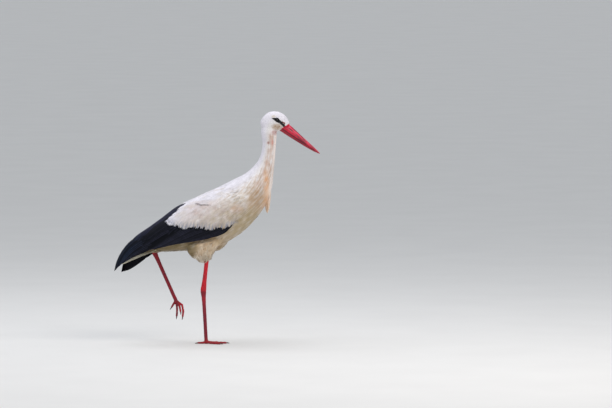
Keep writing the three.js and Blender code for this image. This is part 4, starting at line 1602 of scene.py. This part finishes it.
def mandible(rows, up, colour_at):
    """Half of the bill: a half oval on the mouth line, with a keel, a rolled cutting edge and grooves."""
    profile = spline(np.array(rows) * MM, 14)
    columns = 48
    flat = 12
    angles = np.linspace(0, math.pi, columns - flat)
    at, tall, half = profile[:, 0], profile[:, 1], profile[:, 2]
    sine, cosine = np.sin(angles), np.cos(angles)
    keel = 1 + 0.045 * np.exp(-((angles - math.pi / 2) / 0.16) ** 2)
    groove = np.exp(-((np.abs(angles - math.pi / 2) - 0.95) / 0.1) ** 2)
    groove = 1 - 0.05 * groove[None] * fade(0.15, 0.10, at)[:, None]
    edge = 1 - 0.035 * np.exp(-((np.minimum(angles, math.pi - angles) - 0.16) / 0.07) ** 2)
    rise = tall[:, None] * sine * keel * groove
    reach = half[:, None] * np.sign(cosine) * np.abs(cosine) ** 0.92 * groove * edge
    under = np.linspace(-1, 1, flat + 2)[1:-1]
    rise = np.hstack([rise, np.zeros((len(at), flat)) + 0.02 * MM])
    reach = np.hstack([reach, half[:, None] * under * 0.96])
    if up > 0:
        slit = np.exp(-((at[:, None] - 0.030) / 0.009) ** 4)
        slit = slit * np.exp(-((rise / tall[:, None] - 0.62) / 0.055) ** 2)
        reach = reach * (1 - 0.16 * slit)
        rise = rise - 0.0006 * slit
    side_view = GAPE + at[:, None, None] * BILL_ALONG + (up * rise)[:, :, None] * BILL_UP
    points = np.stack([side_view[..., 0], MIDDLE + reach, side_view[..., 1]], 2)
    rings = len(points)
    faces = grid_faces(rings, columns, closed=True)
    ends = [points[0].mean(0), points[-1].mean(0)]
    caps = end_fans(rings, columns)
    if up < 0:
        faces, caps = faces[:, ::-1], caps[:, ::-1]
    vertices = np.vstack([points.reshape(-1, 3), ends])
    mesh = new_mesh("bill", vertices, [faces, caps])
    height = np.concatenate([(rise / tall[:, None]).ravel(), [0.5, 0]])
    distance = np.concatenate([np.repeat(at, columns), [at[0], at[-1]]])
    # painted shade in the nostril slit
    nostril_shade = np.concatenate([slit.ravel(), [0, 0]]) if up > 0 else np.zeros(len(vertices))
    paint(mesh, "plumage", colour_at(vertices, height, distance, nostril_shade))
    return mesh


def bill_colour(lower):
    def colour_at(p, height, distance, nostril_shade):
        streak = ripple(np.stack([distance * 0.12, height * 0.012, p[:, 1] * 0.6], 1), 0.0045, 51)
        fine = ripple(np.stack([distance * 0.3, height * 0.012, p[:, 1] * 0.6], 1), 0.0018, 52)
        colour = plain((0.75, 0.10, 0.22), p)
        # painted light and shade: the lower mandible darker, the upper one lighter towards its ridge
        if lower:
            colour = mix(colour, np.array((0.56, 0.07, 0.15)), 0.7)
        else:
            colour = tinted(colour, (0.86, 0.20, 0.33), fade(0.35, 0.85, height) * 0.7)
        dark = np.clip(0.28 + 0.75 * streak, 0, 1) * fade(0.0, 0.05, distance)
        colour = tinted(colour, (0.38, 0.06, 0.13), dark * 0.8)
        tip = fade(BILL_LENGTH - 0.03, BILL_LENGTH, distance)
        colour = tinted(colour, (0.70, 0.32, 0.33), tip * 0.6)
        # painted shade along the mouth line between the mandibles
        mouth = fade(0.16, 0.02, height)
        colour = tinted(colour, (0.26, 0.05, 0.08), mouth * 0.75)
        # painted shade in the nostril slit
        colour = tinted(colour, (0.12, 0.03, 0.04), nostril_shade * 0.9)
        return linear(colour * (1 + 0.05 * fine[:, None]))
    return colour_at


def show_bill():
    top = mandible(UPPER_ROWS, 1, bill_colour(False))
    bottom = mandible(LOWER_ROWS, -1, bill_colour(True))
    place("bill_top", top, [BILL_HORN], ["bill_upper"])
    place("bill_bottom", bottom, [BILL_HORN], ["bill_lower"])


show_bill()


# ---------------------------------------------------------------- eyes and claws

def show_eye(side):
    """An eyeball with a slightly domed cornea, near-black iris and black pupil."""
    sign = -1 if side == "right" else 1
    angles = np.linspace(0, math.pi, 40)[1:-1]
    turns = np.linspace(0, 2 * math.pi, 56, endpoint=False)
    radius = EYE_RADIUS + 0.35 * MM * np.exp(-(angles / 0.5) ** 2)
    out = (np.cos(angles) * radius)[:, None].repeat(len(turns), 1)
    ring = (np.sin(angles) * radius)[:, None]
    points = np.stack([ring * np.cos(turns), sign * out, ring * np.sin(turns)], 2).reshape(-1, 3)
    poles = np.array([(0, sign * (EYE_RADIUS + 0.35 * MM), 0), (0, -sign * EYE_RADIUS, 0)])
    vertices = np.vstack([points, poles]) + [EYE[0], MIDDLE + sign * EYE_DEPTH, EYE[1]]
    faces = grid_faces(len(angles), len(turns), closed=True)
    caps = end_fans(len(angles), len(turns))
    if sign < 0:
        faces, caps = faces[:, ::-1], caps[:, ::-1]
    mesh = new_mesh(f"eye_{side}_ball", vertices, [faces, caps])
    off = np.hypot(vertices[:, 0] - EYE[0], vertices[:, 2] - EYE[1])
    iris = fade(2.6 * MM, 3.0 * MM, off)[:, None] * fade(5.0 * MM, 4.4 * MM, off)[:, None]
    paint(mesh, "plumage", mix(linear((0.015, 0.015, 0.02)), linear((0.09, 0.05, 0.035)), iris))
    place(f"eye_{side}_ball", mesh, [EYEBALL], [f"eye_{side}"])


def show_claw(side, toe):
    mesh = even_copy(f"claw_{side}_{toe}_horn", [f"claw_{side}_{toe}"], 0.45 * MM, 5, grow=0.15 * MM)
    mesh.polygons.foreach_set("use_smooth", np.ones(len(mesh.polygons), bool))
    place(mesh.name, mesh, [CLAW_HORN], [f"claw_{side}_{toe}"])


for bird_side in SIDES:
    show_eye(bird_side)
    for toe_name in TOES:
        show_claw(bird_side, toe_name)


# ---------------------------------------------------------------- floor, light and camera

FLOOR_REACH = 90.0


def show_floor():
    """A pale floor that runs on past every edge of the view."""
    points = np.array([(x * FLOOR_REACH, y * FLOOR_REACH, 0) for y in (-1, 1) for x in (-1, 1)])
    mesh = new_mesh("floor", points, [grid_faces(2, 2)])
    finish = Finish("pale_floor", Roughness=0.85, Specular_IOR_Level=0.2)
    mottle = finish.group(MOTTLE, Colour=(0.80, 0.79, 0.775, 1), Scale=3.0, Strength=0.015)
    finish.link(mottle.outputs["Colour"], "Base Color")
    mesh.materials.append(finish.material)
    piece = bpy.data.objects.new("floor", mesh)
    bpy.context.scene.collection.objects.link(piece)


def area_light(name, place_at, aim, size, power, colour):
    light = bpy.data.lights.new(name, "AREA")
    light.shape = "RECTANGLE"
    light.size, light.size_y = size
    light.energy = power
    light.color = colour
    lamp = bpy.data.objects.new(name, light)
    lamp.location = place_at
    lamp.rotation_euler = (Vector(aim) - Vector(place_at)).to_track_quat("-Z", "Y").to_euler()
    bpy.context.scene.collection.objects.link(lamp)


def light_scene():
    world = bpy.data.worlds.new("studio")
    world.use_nodes = True
    world.node_tree.nodes["Background"].inputs[0].default_value = (0.91, 0.95, 1.0, 1)
    world.node_tree.nodes["Background"].inputs[1].default_value = 0.62
    bpy.context.scene.world = world
    bpy.context.scene.view_settings.view_transform = "Standard"
    area_light("key", (2.2, -2.0, 3.0), (0, 0, 0.5), (1.8, 1.8), 54, (1.0, 0.95, 0.90))
    area_light("sky", (-0.8, 0.2, 3.6), (0, 0, 0.5), (2.8, 2.8), 46, (0.95, 0.96, 1.0))
    area_light("front", (-1.6, -3.6, 1.2), (0, 0, 0.5), (2.0, 2.0), 7, (1.0, 0.97, 0.94))


CAMERA_AIM = Vector((0.390, 0, 0.5473))
CAMERA_DISTANCE = 20.0
CAMERA_TILT = math.radians(4)
SENSOR = 36.0
FRAME_PIXELS = 612
PIXEL_SIZE = 3.9  # millimetres at the stork
FRAME_WIDTH = FRAME_PIXELS * PIXEL_SIZE * MM


def set_camera():
    lens = bpy.data.cameras.new("camera")
    lens.sensor_width = SENSOR
    lens.lens = SENSOR * CAMERA_DISTANCE / FRAME_WIDTH
    lens.clip_end = 100
    camera = bpy.data.objects.new("camera", lens)
    back = Vector((0, -math.cos(CAMERA_TILT), math.sin(CAMERA_TILT)))
    camera.location = CAMERA_AIM + back * CAMERA_DISTANCE
    camera.rotation_euler = (math.pi / 2 - CAMERA_TILT, 0, 0)
    bpy.context.scene.collection.objects.link(camera)
    bpy.context.scene.camera = camera


show_floor()
light_scene()
set_camera()
